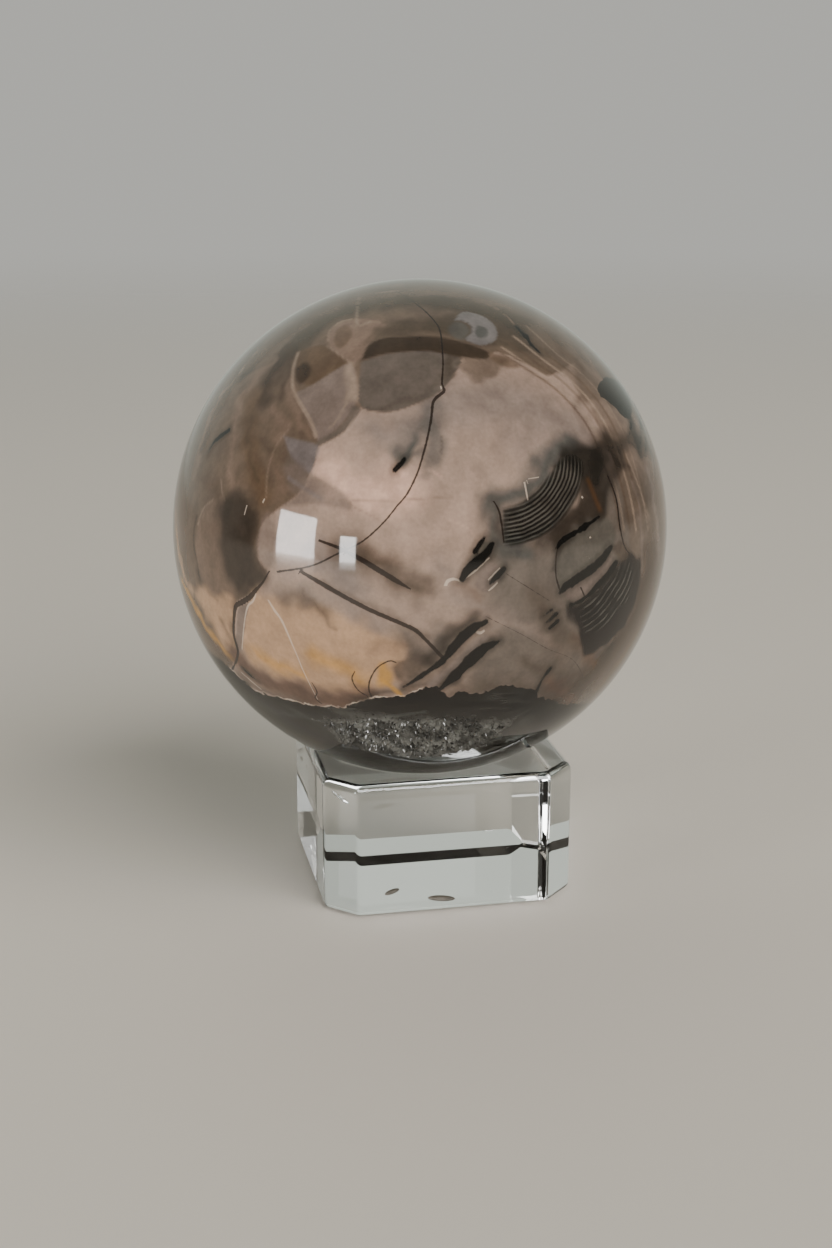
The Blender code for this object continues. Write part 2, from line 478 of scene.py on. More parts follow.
PALE_LINES_AND_GLINTS = {
    "long_white": ([(267, 598), (275, 611), (283, 623), (296, 653), (303, 670), (318, 700)], [1.2, 2.6, 2.2,
         1.2, 1.0, 0.5]),
    "white_edge": ([(256, 593), (253, 601), (248, 606), (245, 618), (243, 636), (242, 651)], [1.5, 2.2, 2.0,
         1.4, 1.3, 0.8]),
    "curl": ([(445, 587), (448, 581), (455, 579), (463, 583)], [2.8, 2.8, 2.0, 0.8]),
    "dash_edge": ([(462, 581), (475, 571), (490, 557)], [0.8, 1.6, 0.9]),
    "right_dash_edge": ([(487, 581), (494, 574), (501, 567)], [1, 1.6, 1]),
    "right_dash_foot": ([(487, 592), (493, 587), (499, 581)], [1, 1.5, 1]),
    "dash_glint": ([(475, 631), (480, 633), (485, 630)], [1.5, 3.0, 1.8]),
    "upright_white_mark": ([(524, 480), (528, 501)], [1.6, 1]),
    "level_white_mark": ([(527, 479), (540, 477)], [0.8, 0.5]),
    "kink_glint": ([(441, 384), (442, 390)], [2.2, 2.2]),
    "leaf_fleck": ([(589, 536), (591, 539)], [2, 2]),
    "leaf_low_fleck": ([(590, 556), (590, 560)], [1.8, 1.8]),
    "fan_fleck": ([(581, 499), (583, 496)], [2, 2]),
    "amber_fleck": ([(278, 663), (280, 663)], [1.8, 1.8]),
    "left_scratch": ([(265, 498), (262, 504)], [1.6, 1.6]),
    "lower_left_scratch": ([(247, 505), (244, 516)], [1.2, 0.8]),
    "slash_edge": ([(240, 671), (250, 680), (262, 690)], [0.8, 1.3, 0.8]),
}


def front_stroke(spots_and_widths):
    pixels, widths = spots_and_widths
    return smooth_line(spots(pixels)), np.array(widths) * PIXEL_MM


# Strokes of the back, in mm on the flat map behind: nothing of it shows in the photograph

BACK_INK = {
    "back_dash": ([(-14, 9), (-9, 11), (-3, 15)], [0.5, 1.5, 0.4]),
    "back_lower_dash": ([(-11, 4), (-5, 7), (2, 12)], [0.4, 1.3, 0.5]),
    "back_side_dash": ([(22, -6), (25, -2), (26, 4)], [0.3, 1.0, 0.3]),
    "back_mark": ([(-33, 18), (-30, 22), (-29, 27)], [0.4, 1.2, 0.3]),
}

BACK_CRACKS = {
    "back_crack": ([(-26, 41), (-20, 30), (-19, 19), (-12, 9), (-1, -1), (8, -4), (15, -12), (26, -15)],
         [0.2, 0.25, 0.25, 0.3, 0.25, 0.25, 0.3, 0.3]),
    "back_branch": ([(8, -4), (15, 3), (18, 13), (25, 22)], [0.3, 0.3, 0.25, 0.15]),
    "back_vein": ([(-34, -2), (-27, -6), (-17, -8), (-9, -13)], [0.3, 0.6, 0.6, 0.3]),
}


def back_stroke(points_and_widths):
    points, widths = points_and_widths
    return smooth_line(np.array(points, float)), np.array(widths, float)


def strokes_as(flat, strokes):
    """For each stroke in turn: distance to its side, width there, and whether the place is past its ends."""
    for (line, numbers), widths in strokes:
        side, place = beside(flat, line)
        number = np.interp(place, np.arange(len(line)), numbers)
        width = np.interp(number, np.arange(len(widths)), widths)
        past = (place <= 0) | (place >= len(line) - 1)
        yield side, width, past


def thick_marks(flat, strokes):
    """How far outside the nearest thick stroke each place is, in mm."""
    gap = np.full(len(flat), FAR_MM)
    for side, width, _ in strokes_as(flat, strokes):
        gap = np.minimum(gap, np.abs(side) - width / 2)
    return gap


def thin_marks(flat, strokes, reach):
    """The signed distance to the nearest thin stroke, and its width, which is below 0 out of its reach."""
    nearest = np.full(len(flat), FAR_MM)
    signed = np.full(len(flat), FAR_MM)
    breadth = np.full(len(flat), -1.0)
    for side, width, past in strokes_as(flat, strokes):
        closer = (np.abs(side) < nearest) & ~past
        nearest = np.where(closer, np.abs(side), nearest)
        signed = np.where(closer, side, signed)
        breadth = np.where(closer, width, breadth)
    return signed, np.where(nearest < reach, breadth, -1.0)


# The edge of the dark base, as pixels along the front and as directions round the back

SHORE_PIXELS = [
    (222, 660), (231, 669), (241, 679), (254, 690), (264, 694), (274, 696), (284, 699), (294, 701),
    (306, 704), (321, 707), (331, 706), (342, 709), (352, 704), (361, 701), (371, 699), (379, 697),
    (387, 697), (397, 696), (405, 697), (414, 692), (425, 688), (437, 686), (442, 692), (450, 697),
    (457, 692), (463, 690), (478, 693), (490, 691), (498, 687), (507, 684), (515, 687), (523, 689),
    (531, 687), (538, 692), (537, 697), (548, 699), (561, 704), (574, 704), (594, 701), (612, 694),
]
SHORE_BEHIND = [(70, -34), (95, -31), (120, -35), (150, -40), (180, -36), (205, -29), (235, -27), (262, -24)]


def azimuth_of(ways):
    """Degrees round from the front, -Y, towards +X, from 0 to 360."""
    return np.degrees(np.arctan2(ways[:, 0], -ways[:, 1])) % 360


def shore_height(ways):
    """How far above the dark base each direction is, in mm, and below 0 in the base."""
    front = np.array([way_at(pixel)[0] for pixel in SHORE_PIXELS])
    bearings = list(azimuth_of(front)) + [azimuth for azimuth, _ in SHORE_BEHIND]
    heights = list(np.degrees(np.arcsin(front[:, 2]))) + [elevation for _, elevation in SHORE_BEHIND]
    order = np.argsort(bearings)
    edge = np.interp(azimuth_of(ways), np.array(bearings)[order], np.array(heights)[order], period=360)
    height = (np.degrees(np.arcsin(np.clip(ways[:, 2], -1, 1))) - edge) * math.radians(1) * BALL_MM
    return height + SHORE_RIPPLE_MM * ripple(ways * BALL_MM, 7.0, 5) * soft_step(ways @ BEHIND, -0.2, 0.3)


# The line along which the ragged edge gets a painted highlight, and the blob at the right limb

SHORE_HIGHLIGHT_PIXELS = [(231, 669), (254, 690), (306, 704), (342, 709), (379, 697), (414, 692)]
BLOB_PIXELS = [
    (599, 384), (606, 377), (614, 379), (622, 386), (629, 396), (632, 408),
    (630, 420), (622, 416), (614, 406), (606, 399), (601, 397), (598, 390),
]


class Canvas:
    """The colour of the stone at each point of the ball, painted in layers."""

    def __init__(self, ways, ground):
        self.ways = ways
        points = ways * BALL_MM
        wobble = np.stack([ripple(points, WOBBLE_SIZE_MM, seed) for seed in (1, 2)], axis=1)
        self.front = lay_flat(ways, FRONT)
        self.loose = self.front + FRONT_WOBBLE_MM * wobble
        self.back = lay_flat(ways, BEHIND) + BACK_WOBBLE_MM * wobble
        self.colour = np.tile(np.array(ground), (len(ways), 1))

    def paint(self, tint, share):
        self.colour += (np.array(tint) - self.colour) * np.clip(share, 0, 1)[:, None]

    def fill(self, tint, gap, soft, strength):
        """Paints where the gap is below 0, with an edge this soft."""
        self.paint(tint, strength * (1 - soft_step(gap, -soft / 2, soft / 2)))

    def layers(self, rows):
        """Paints rows of tint, width, softness, strength and pixels on the front. Lengths are in pixels."""
        for tint, width, soft, strength, pixels in rows:
            flat = self.loose if soft > SMOKY_SOFTNESS else self.front
            if width is AREA:
                outline, _ = smooth_line(np.vstack([spots(pixels), spots(pixels[:1])]), 3)
                gap = outside(flat, outline[:-1]) / PIXEL_MM
            else:
                line, _ = smooth_line(spots(pixels))
                gap = np.abs(beside(flat, line)[0]) / PIXEL_MM - width / 2
            self.fill(tint, gap, soft, strength)

    def back_layers(self, rows):
        """Paints rows of tint, width, softness, strength and points on the back. Lengths are in mm."""
        for tint, width, soft, strength, points in rows:
            line = np.array(points, float)
            if width is AREA:
                gap = outside(self.back, line)
            else:
                gap = np.abs(beside(self.back, smooth_line(line)[0])[0]) - width / 2
            self.fill(tint, gap, soft, strength)


def paint_light_zone(canvas):
    """The pale middle: its own tone, with a painted glow of light on the left and painted shade falling off
    to the right and below.
    """
    canvas.layers((
        # Painted shade over the lower right of the pale stone
        (SHADED_STONE, AREA, 44, 0.95, [(470, 560), (500, 540), (560, 520), (596, 478), (640, 470),
         (668, 520), (660, 600), (620, 680), (560, 720), (470, 700), (470, 660), (490, 630), (480, 600)]),
        (PALE_GREY, 44, 42, 0.85, [(440, 404), (500, 402), (560, 420), (596, 450)]),
        (PALE_GREY, 30, 40, 0.6, [(520, 445), (548, 452)]),
        (PALE_GREY, 24, 30, 0.9, [(374, 430), (392, 434), (408, 424)]),
        # A painted glow of light over the left and middle of the pale stone
        (WARM_GLOW, 36, 50, 0.8, [(405, 500), (450, 515), (440, 535), (400, 560)]),
        (PINK_GLOW, 36, 32, 0.97, [(326, 470), (360, 486), (402, 490)]),
        (WARM_GLOW, 20, 26, 0.8, [(340, 440), (352, 450), (360, 466)]),
        (PALE_GREY, 24, 26, 0.9, [(320, 556), (340, 572), (352, 588)]),
        (PALE_GREY, 24, 30, 0.7, [(310, 604), (345, 612), (372, 628)]),
        (PALE_GREY, 10, 24, 0.7, [(440, 560), (466, 604), (510, 618), (548, 640)]),
        (LIGHT_STONE, 6, 14, 0.35, [(470, 612), (515, 622), (560, 650)]),
        (SHADED_STONE, 24, 30, 0.9, [(404, 640), (420, 652), (440, 640)]),
        (PALE_CREAM, 1.5, 3, 0.8, [(400, 595), (450, 608), (490, 622)]),
        (WARM_TAUPE, 1, 3, 0.6, [(380, 520), (350, 502), (400, 500), (452, 497)]),
        (PINK_GLOW, 2, 4, 0.6, [(420, 474), (430, 470), (441, 477)]),
        (PINK_GLOW, 1, 3, 0.5, [(450, 520), (470, 530), (480, 545)]),
        (WARM_GLOW, 1, 4, 0.5, [(455, 450), (475, 478), (496, 500)]),
    ))


def paint_mantle(canvas):
    """The smoky stone round the upper left, in arcs that follow the limb."""
    canvas.layers((
        (TAUPE, AREA, 2.5, 1.0, [(462, 356), (455, 373), (444, 388), (431, 397), (405, 408), (385, 412),
         (360, 408), (352, 420), (341, 434), (319, 446), (315, 462), (310, 473), (303, 488), (291, 500),
         (278, 509), (262, 524), (258, 545), (259, 561), (268, 576), (248, 595), (236, 605), (235, 636),
         (240, 651), (231, 669), (160, 740), (60, 620), (60, 400), (180, 220), (420, 160), (600, 220),
         (600, 330), (560, 372), (530, 366), (500, 352), (485, 356)]),
        (OLIVE, 30, 20, 0.85, [(292, 352), (318, 326), (352, 310), (400, 302), (450, 303), (500, 316),
         (540, 345)]),
        (WARM_TAUPE, 9, 9, 0.8, [(196, 470), (205, 430), (222, 392), (246, 356), (276, 326), (312, 304),
         (350, 292), (400, 285)]),
        (BROWN_LINE, 14, 10, 0.7, [(203, 448), (212, 420), (226, 398)]),
        (PALE_CREAM, 2, 4, 0.65, [(213, 401), (228, 388), (240, 372), (262, 346), (288, 325), (316, 307),
         (347, 297), (396, 291)]),
        (BROWN_LINE, 8, 8, 0.6, [(240, 380), (258, 361), (285, 335), (310, 318)]),
        (DARK_OLIVE, 22, 22, 0.95, [(262, 398), (272, 375), (287, 352)]),
        (DARK_OLIVE, 10, 12, 0.6, [(283, 392), (289, 374), (292, 358)]),
        (WARM_TAUPE, 8, 10, 0.6, [(233, 500), (230, 470), (233, 436), (240, 403), (256, 378), (275, 360)]),
        (OLIVE_STREAK, 22, 14, 0.85, [(252, 395), (250, 430), (254, 470), (262, 495)]),
        (OLIVE, 4, 10, 0.6, [(250, 420), (250, 450), (256, 480)]),
        (OLIVE, 8, 14, 0.5, [(262, 440), (275, 455), (270, 480)]),
        (WARM_TAUPE, 8, 14, 0.6, [(272, 410), (284, 424), (280, 440)]),
        (WARM_TAUPE, 10, 14, 0.4, [(300, 500), (282, 482), (272, 460)]),
        (BROWN_LINE, 8, 6, 0.75, [(208, 456), (216, 443), (226, 433)]),
        (BROWN_LINE, 10, 12, 0.5, [(200, 476), (212, 486), (222, 500)]),
        (PALE_CREAM, 1, 3, 0.5, [(221, 480), (223, 495), (230, 512)]),
        (PALE_CREAM, 1, 3, 0.35, [(288, 430), (276, 446), (268, 470), (266, 498)]),
    ))


def paint_sheets(canvas):
    """The see-through sheets and their creamy seams, upper left and at the top."""
    canvas.layers((
        (OLIVE_STREAK, AREA, 3, 0.9, [(297, 352), (320, 345), (330, 350), (348, 363), (330, 372),
         (312, 385), (298, 378)]),
        (GREY_TAUPE, AREA, 2.5, 1.0, [(297, 392), (312, 385), (330, 374), (350, 363), (357, 380),
         (357, 402), (345, 419), (334, 431), (318, 440), (308, 421), (299, 404)]),
        (PALE_CREAM, 12, 12, 0.7, [(350, 366), (352, 380), (355, 398)]),
        (GREY_TAUPE, 8, 12, 0.5, [(310, 392), (318, 410), (326, 424)]),
        (DARK_OLIVE, AREA, 5, 1.0, [(296, 368), (305, 362), (311, 368), (308, 378), (300, 384),
         (296, 378)]),
        (PALE_CREAM, 3, 4, 0.85, [(298, 353), (293, 370), (293, 388), (301, 405), (310, 420), (316, 436)]),
        (WARM_TAUPE, 6, 9, 0.6, [(289, 380), (292, 398), (300, 416), (308, 432)]),
        (WARM_TAUPE, AREA, 4, 0.8, [(327, 340), (336, 324), (357, 319), (386, 324), (372, 340), (362, 357),
         (350, 362), (332, 348)]),
        (OLIVE_STREAK, AREA, 5, 0.7, [(334, 340), (337, 330), (347, 325), (352, 334), (345, 346),
         (337, 347)]),
        (PALE_CREAM, 1.5, 3, 0.5, [(328, 341), (330, 330), (340, 322), (352, 319)]),
        (PALE_CREAM, 2, 4, 0.5, [(359, 298), (357, 312), (358, 325), (370, 322)]),
        (PALE_CREAM, 1.5, 3, 0.45, [(328, 346), (340, 355), (350, 362)]),
        (PALE_CREAM, 2, 2.5, 0.4, [(347, 402), (340, 416), (330, 428)]),
        (OVAL_GREY, AREA, 2, 0.8, [(346, 420), (352, 406), (361, 409), (353, 421), (341, 434), (319, 446),
         (318, 440), (334, 431)]),
        (LAVENDER, AREA, 4, 0.75, [(284, 436), (300, 440), (319, 446), (315, 462), (309, 474), (291, 457)]),
        (OVAL_GREY, AREA, 6, 0.5, [(288, 454), (309, 473), (303, 488), (292, 494), (284, 470)]),
        (GREY_TAUPE, AREA, 5, 0.7, [(310, 472), (326, 482), (341, 491), (351, 504), (350, 511), (330, 506),
         (308, 504), (284, 506), (296, 497), (305, 486)]),
        (LAVENDER, 4, 2, 0.7, [(289, 478), (304, 488), (320, 498)]),
        (GREY_TAUPE, 14, 14, 0.6, [(292, 468), (304, 482), (318, 492)]),
        (OVAL_GREY, AREA, 2, 1.0, [(361, 362), (389, 354), (425, 351), (441, 353), (461, 359), (455, 373),
         (444, 388), (431, 396), (405, 408), (385, 412), (361, 407), (359, 386)]),
        (ARC_BROWN, 5, 10, 0.4, [(372, 407), (390, 407), (410, 401), (430, 390), (443, 377)]),
        (OLIVE, AREA, 12, 0.7, [(366, 342), (376, 328), (400, 320), (440, 316), (480, 312), (525, 330),
         (545, 352), (520, 352), (500, 348), (480, 345), (440, 335), (397, 334)]),
        (ARC_BROWN, AREA, 3, 1.0, [(362, 360), (368, 346), (384, 338), (404, 337), (425, 336), (446, 338),
         (468, 344), (488, 352), (486, 359), (461, 357), (440, 353), (425, 351), (389, 353)]),
        (OLIVE, AREA, 9, 0.6, [(442, 352), (462, 357), (486, 359), (505, 358), (500, 372), (482, 382),
         (466, 374), (458, 361), (450, 380), (443, 386)]),
        (OLIVE_STREAK, AREA, 6, 0.7, [(488, 352), (505, 356), (520, 366), (508, 368), (492, 360)]),
        (OLIVE, 20, 16, 0.7, [(500, 312), (530, 322), (558, 342)]),
        (SHADED_STONE, 14, 22, 0.5, [(424, 362), (440, 372), (436, 388)]),
        (HOOK_GREY, AREA, 2, 1.0, [(454, 320), (463, 312), (477, 314), (489, 320), (497, 331), (495, 340),
         (484, 345), (473, 343), (465, 339), (471, 333), (470, 325), (462, 321)]),
        (COOL_SMOKE, AREA, 3, 1.0, [(477, 325), (486, 328), (488, 335), (480, 338), (475, 333)]),
        (COOL_SMOKE, AREA, 5, 0.7, [(455, 322), (463, 323), (470, 331), (463, 340), (452, 336),
         (448, 328)]),
        (ARC_BROWN, 1, 2, 0.7, [(461, 320), (469, 323), (472, 331), (466, 338)]),
        (WARM_TAUPE, 1.5, 3, 0.8, [(470, 300), (490, 305), (505, 315), (516, 326)]),
    ))


def paint_left_side(canvas):
    """The lobe and the dark column on the left, and the amber down the limb."""
    canvas.layers((
        (WARM_TAUPE, AREA, 5, 0.45, [(222, 496), (206, 506), (197, 530), (196, 560), (203, 590), (220, 615),
         (236, 604), (236, 560), (230, 520)]),
        (PEACH, AREA, 14, 0.85, [(200, 585), (214, 594), (232, 598), (234, 610), (232, 640), (226, 648),
         (208, 620), (196, 596)]),
        (COLUMN_BROWN, AREA, 20, 1.0, [(222, 500), (236, 492), (256, 506), (259, 524), (257, 548),
         (259, 562), (267, 578), (248, 594), (236, 592), (226, 570), (220, 540), (218, 515)]),
        (GREY_TAUPE, AREA, 7, 0.6, [(262, 520), (270, 512), (276, 540), (272, 566), (262, 562),
         (259, 545)]),
        (PALE_CREAM, 1.5, 3, 0.5, [(213, 500), (203, 509), (198, 524)]),
        (COLUMN_BROWN, 2.5, 4, 0.9, [(197, 516), (194, 530), (194, 546), (197, 562), (200, 580)]),
        (COLUMN_BROWN, 6, 10, 0.45, [(198, 572), (206, 588), (218, 600)]),
        (PALE_GREY, 8, 12, 0.6, [(180, 470), (178, 510), (180, 540)]),
        (PEACH, 10, 9, 0.75, [(176, 512), (178, 545), (184, 575), (192, 592)]),
        (STRONG_AMBER, 9, 9, 0.85, [(182, 580), (192, 602), (204, 624), (220, 645), (231, 658)]),
        (COLUMN_BROWN, 3, 8, 0.6, [(222, 620), (230, 640), (233, 660)]),
        (ORANGE_BROWN, 4, 4, 0.8, [(178, 580), (189, 610), (206, 643), (224, 670), (240, 692)]),
        (DARK_OLIVE, 5, 4, 0.95, [(172, 574), (184, 612), (201, 645), (222, 676), (244, 700)]),
    ))


def paint_amber(canvas):
    """The peach and amber stone on the lower left, and the plum shade along its foot."""
    canvas.layers((
        (PEACH, AREA, 18, 0.9, [(256, 592), (280, 600), (320, 604), (360, 622), (395, 640), (404, 652),
         (400, 680), (345, 694), (290, 682), (252, 664), (243, 640), (247, 610)]),
        (BROWN_SMOKE, 14, 22, 0.75, [(284, 596), (304, 600), (322, 612)]),
        (BROWN_SMOKE, 2, 7, 0.7, [(306, 594), (318, 612), (334, 628)]),
        (AMBER, 10, 20, 0.9, [(252, 650), (272, 664), (300, 674)]),
        (AMBER, 14, 20, 0.8, [(312, 655), (335, 664), (352, 672), (358, 680)]),
        (PLUM_BROWN, 30, 24, 1.0, [(236, 657), (254, 675), (280, 687), (308, 696), (338, 702), (368, 697)]),
        (COLUMN_BROWN, 8, 14, 0.7, [(238, 672), (256, 688), (284, 698), (306, 704)]),
        (COLUMN_BROWN, 9, 18, 0.85, [(352, 702), (380, 694), (402, 691), (425, 683), (448, 684)]),
        (PLUM_BROWN, 10, 14, 0.7, [(252, 676), (282, 688), (312, 694)]),
        (PEACH, 5, 9, 0.8, [(249, 612), (247, 640), (252, 654)]),
        (STRONG_AMBER, 12, 9, 0.85, [(384, 668), (385, 680)]),
        (STRONG_AMBER, 4, 5, 0.95, [(382, 680), (393, 688), (402, 697)]),
        (WARM_TAUPE, 7, 8, 0.8, [(396, 674), (410, 686), (415, 694)]),
        (BROWN_SMOKE, AREA, 9, 0.75, [(398, 660), (412, 655), (434, 660), (424, 671), (405, 680),
         (394, 674)]),
        (GREY_TAUPE, AREA, 2, 0.9, [(249, 602), (246, 620), (243, 640), (241, 652), (236, 646), (237, 625),
         (238, 608)]),
        (PLUM_BROWN, 10, 16, 0.4, [(368, 652), (390, 644), (415, 650)]),
    ))


# The innermost curved band of the right limb, and how far each further one is lifted there
LIMB_CURVE = (
    (498, 351, 0.9), (528, 370, 0.6), (553, 387, 0.5), (576, 410, 0.4),
    (592, 434, 0.3), (604, 465, 0.3), (614, 495, 0), (620, 530, 0),
)


def paint_right_side(canvas):
    """The curved bands along the right limb, the grey swirl and the brown foot, with painted shade: a thin
    line along the upper rim and a dark olive band over the lower right.
    """
    canvas.layers((
        (TAUPE, AREA, 10, 0.65, [(520, 340), (548, 360), (572, 382), (594, 412), (606, 440), (618, 480),
         (630, 540), (632, 590), (612, 650), (590, 690), (640, 760), (760, 600), (740, 420), (640, 300),
         (560, 290)]),
        (OLIVE_STREAK, 12, 12, 0.6, [(548, 335), (566, 352), (582, 368)]),
        (WARM_TAUPE, 8, 10, 0.6, [(560, 330), (586, 355), (600, 380)]),
    ))
    for offset, tint, width, strength in (
        (0, BROWN_LINE, 2.5, 0.7), (4, PALE_CREAM, 2, 0.7), (10, BROWN_LINE, 3, 0.45),
        (16, PALE_CREAM, 2.5, 0.8), (22, OLIVE_STREAK, 3, 0.55), (28, PALE_CREAM, 2, 0.4),
    ):
        pixels = [(x + offset, y - lift * offset) for x, y, lift in LIMB_CURVE]
        canvas.layers([(tint, width, 3, strength, pixels)])
    canvas.layers((
        (PALE_CREAM, 2, 3, 0.7, [(626, 455), (640, 490), (650, 525)]),
        # A thin brown line of painted shade along the upper right rim, and a pale cream streak of the stone
        # beside it
        (ORANGE_BROWN, 2.5, 3, 0.9, [(572, 337), (590, 353), (604, 371)]),
        (PALE_CREAM, 2, 3, 0.9, [(568, 331), (590, 349), (605, 366)]),
        (PALE_GREY, 8, 10, 0.7, [(648, 470), (657, 520), (659, 560)]),
        (PALE_GREY, 6, 8, 0.5, [(632, 480), (640, 520), (642, 570)]),
        (TAUPE, 4, 6, 0.6, [(641, 480), (648, 520), (650, 560)]),
        (BROWN_SMOKE, 18, 18, 0.75, [(600, 440), (618, 440), (636, 438), (650, 450)]),
        (SMOKE, 4, 10, 0.7, [(608, 450), (618, 462), (630, 466)]),
        (ORANGE_BROWN, 10, 9, 0.8, [(652, 590), (640, 625), (618, 662), (596, 692)]),
        (DARK_OLIVE, 6, 5, 0.9, [(661, 590), (648, 632), (624, 670), (598, 700)]),
        (PALE_GREY, 3, 5, 0.6, [(636, 600), (622, 632), (602, 648), (592, 656)]),
        (BROWN_SMOKE, 7, 6, 0.5, [(598, 660), (610, 646), (620, 640)]),
        (SMOKE, 14, 14, 0.75, [(610, 398), (626, 412), (636, 436), (640, 452)]),
        (SMOKE, 12, 20, 0.6, [(606, 436), (622, 444), (640, 446)]),
        # Painted shade over the lower right, in dark olive
        (DARK_OLIVE, 34, 52, 0.9, [(652, 560), (632, 620), (596, 668), (548, 704), (500, 722)]),
        (ORANGE_BROWN, 10, 16, 0.5, [(574, 640), (586, 652), (594, 668)]),
        (BROWN_SMOKE, 12, 34, 0.9, [(432, 704), (470, 690), (510, 686), (545, 690), (580, 690)]),
        (BROWN_SMOKE, 20, 40, 0.6, [(540, 600), (556, 640), (562, 680)]),
    ))


def paint_limb_shade(canvas):
    """Painted shade, brown and in patches, round the sides beyond the clear front, where the stone looks
    darker towards its limb.
    """
    out = np.hypot(*canvas.front.T)
    patches = 0.75 + 0.25 * ripple(canvas.ways * BALL_MM, LIMB_SHADE_PATCH_MM, 3)
    share = soft_step(out, *LIMB_SHADE_STARTS_MM) * (1 - soft_step(out, *LIMB_SHADE_ENDS_MM))
    canvas.paint(DARK_OLIVE, LIMB_SHADE_STRENGTH * share * np.clip(patches, 0, 1))


def paint_smoke(canvas):
    """Soft smoke round the ink, the grey leaf and the ground under the two fans."""
    canvas.layers((
        (BROWN_SMOKE, 24, 24, 0.9, [(346, 550), (372, 562), (398, 577), (420, 588)]),
        (BROWN_SMOKE, 5, 8, 0.55, [(324, 583), (360, 602), (400, 620), (424, 636)]),
        (SMOKE, 14, 18, 0.85, [(430, 660), (452, 638), (472, 621)]),
        (SMOKE, 16, 14, 0.7, [(448, 676), (470, 652), (492, 640)]),
        (SMOKE, 10, 14, 0.7, [(466, 576), (478, 564), (490, 550)]),
        (SMOKE, 6, 12, 0.6, [(490, 584), (498, 576), (506, 568)]),
        (COOL_SMOKE, 20, 18, 0.9, [(492, 498), (494, 520), (502, 546), (524, 552)]),
        (PALE_GREY, 8, 5, 0.75, [(432, 684), (452, 668), (470, 650), (484, 638)]),
        (FEATHER_GREY, 16, 22, 0.85, [(400, 456), (412, 440), (426, 420), (432, 404)]),
        (FEATHER_GREY, 16, 14, 0.8, [(432, 424), (436, 440), (434, 456)]),
        (COOL_SMOKE, 9, 9, 0.95, [(402, 463), (407, 452), (412, 442)]),
        (COOL_SMOKE, 5, 8, 0.7, [(406, 458), (414, 451), (421, 452)]),
        (FEATHER_GREY, 10, 12, 0.5, [(425, 460), (422, 474)]),
        (SMOKE, 1.5, 3, 0.5, [(441, 437), (442, 446), (441, 453)]),
        (BROWN_SMOKE, 10, 14, 0.7, [(522, 662), (538, 668), (548, 672)]),
        (PLUM_BROWN, 12, 14, 0.8, [(548, 682), (562, 690), (574, 700)]),
        (BROWN_SMOKE, 10, 22, 0.55, [(530, 592), (548, 612), (560, 632), (576, 650)]),
        (BROWN_SMOKE, 12, 8, 0.6, [(546, 612), (554, 626)]),
        (WARM_TAUPE, 8, 10, 0.7, [(456, 586), (466, 590), (478, 596)]),
        (BROWN_SMOKE, 6, 10, 0.55, [(496, 500), (498, 520), (502, 540)]),
        (COOL_SMOKE, 22, 20, 0.95, [(506, 500), (524, 492), (538, 476), (550, 458), (570, 444)]),
        (SMOKE, 8, 16, 0.6, [(540, 540), (562, 528), (584, 520)]),
        (SMOKE, 8, 12, 0.6, [(570, 604), (588, 600), (600, 592)]),
        (SMOKE, AREA, 16, 0.8, [(590, 446), (602, 438), (624, 450), (619, 476), (607, 500), (601, 518),
         (588, 506), (590, 480)]),
        (SMOKE, AREA, 14, 0.8, [(552, 530), (574, 510), (600, 490), (606, 512), (590, 521), (572, 530),
         (556, 544)]),
        (LEAF_GREY, AREA, 6, 0.85, [(557, 547), (563, 540), (580, 528), (602, 516), (615, 528), (613, 546),
         (600, 560), (588, 572), (572, 582), (562, 592), (556, 576)]),
        (SMOKE, 5, 12, 0.8, [(556, 562), (560, 548), (572, 538)]),
        (GREY_TAUPE, AREA, 3, 0.8, [(562, 592), (572, 583), (585, 580), (600, 568), (612, 556), (608, 572),
         (590, 592), (574, 602)]),
        (LEAF_GREY, AREA, 4, 0.8, [(468, 566), (474, 552), (484, 541), (491, 547), (484, 560)]),
        (GREY_TAUPE, AREA, 4, 0.85, [(474, 586), (480, 572), (490, 563), (501, 568), (494, 588),
         (482, 592)]),
        (COLUMN_BROWN, AREA, 7, 0.6, [(550, 545), (556, 536), (570, 528), (560, 545), (555, 560)]),
        (FAN_GREY, AREA, 4, 0.9, [(503, 509), (521, 503), (536, 490), (550, 474), (560, 459), (572, 455),
         (583, 462), (582, 484), (576, 500), (563, 518), (548, 532), (528, 542), (505, 544)]),
        (SMOKE, AREA, 12, 0.95, [(556, 464), (562, 450), (582, 444), (600, 447), (606, 462), (602, 478),
         (592, 490), (582, 488), (572, 464)]),
        (COLUMN_BROWN, AREA, 10, 0.85, [(580, 484), (598, 484), (602, 505), (604, 516), (588, 520),
         (574, 528), (556, 542), (545, 540), (566, 514), (578, 500)]),
        (ORANGE_BROWN, 4, 6, 0.6, [(588, 480), (594, 495), (600, 510)]),
        (FAN_PLUM, AREA, 7, 1.0, [(568, 607), (586, 599), (600, 586), (612, 571), (620, 557), (632, 550),
         (641, 566), (637, 596), (627, 622), (612, 640), (592, 656), (582, 652), (576, 630)]),
        (BROWN_SMOKE, AREA, 6, 0.8, [(612, 548), (622, 540), (630, 552), (622, 562)]),
    ))


def paint_base(canvas):
    """Grey waves in the dark stone below the ragged edge, which is blackest on the right."""
    canvas.layers((
        (BASE_BLACK, 34, 34, 0.9, [(520, 702), (556, 716), (585, 712)]),
        (BASE_BLACK, 10, 14, 0.5, [(430, 700), (480, 702), (520, 700)]),
        (BASE_WAVE, 3, 7, 0.7, [(244, 694), (270, 709), (303, 718), (341, 723), (372, 722), (396, 716),
         (426, 711)]),
        (BASE_WAVE, 8, 10, 0.6, [(262, 722), (296, 741), (330, 752)]),
        (DRUSE_DARK, 6, 16, 0.6, [(345, 734), (400, 726), (450, 722), (495, 727)]),
        (PLUM_BROWN, 8, 12, 0.4, [(262, 712), (290, 732), (320, 742)]),
    ))


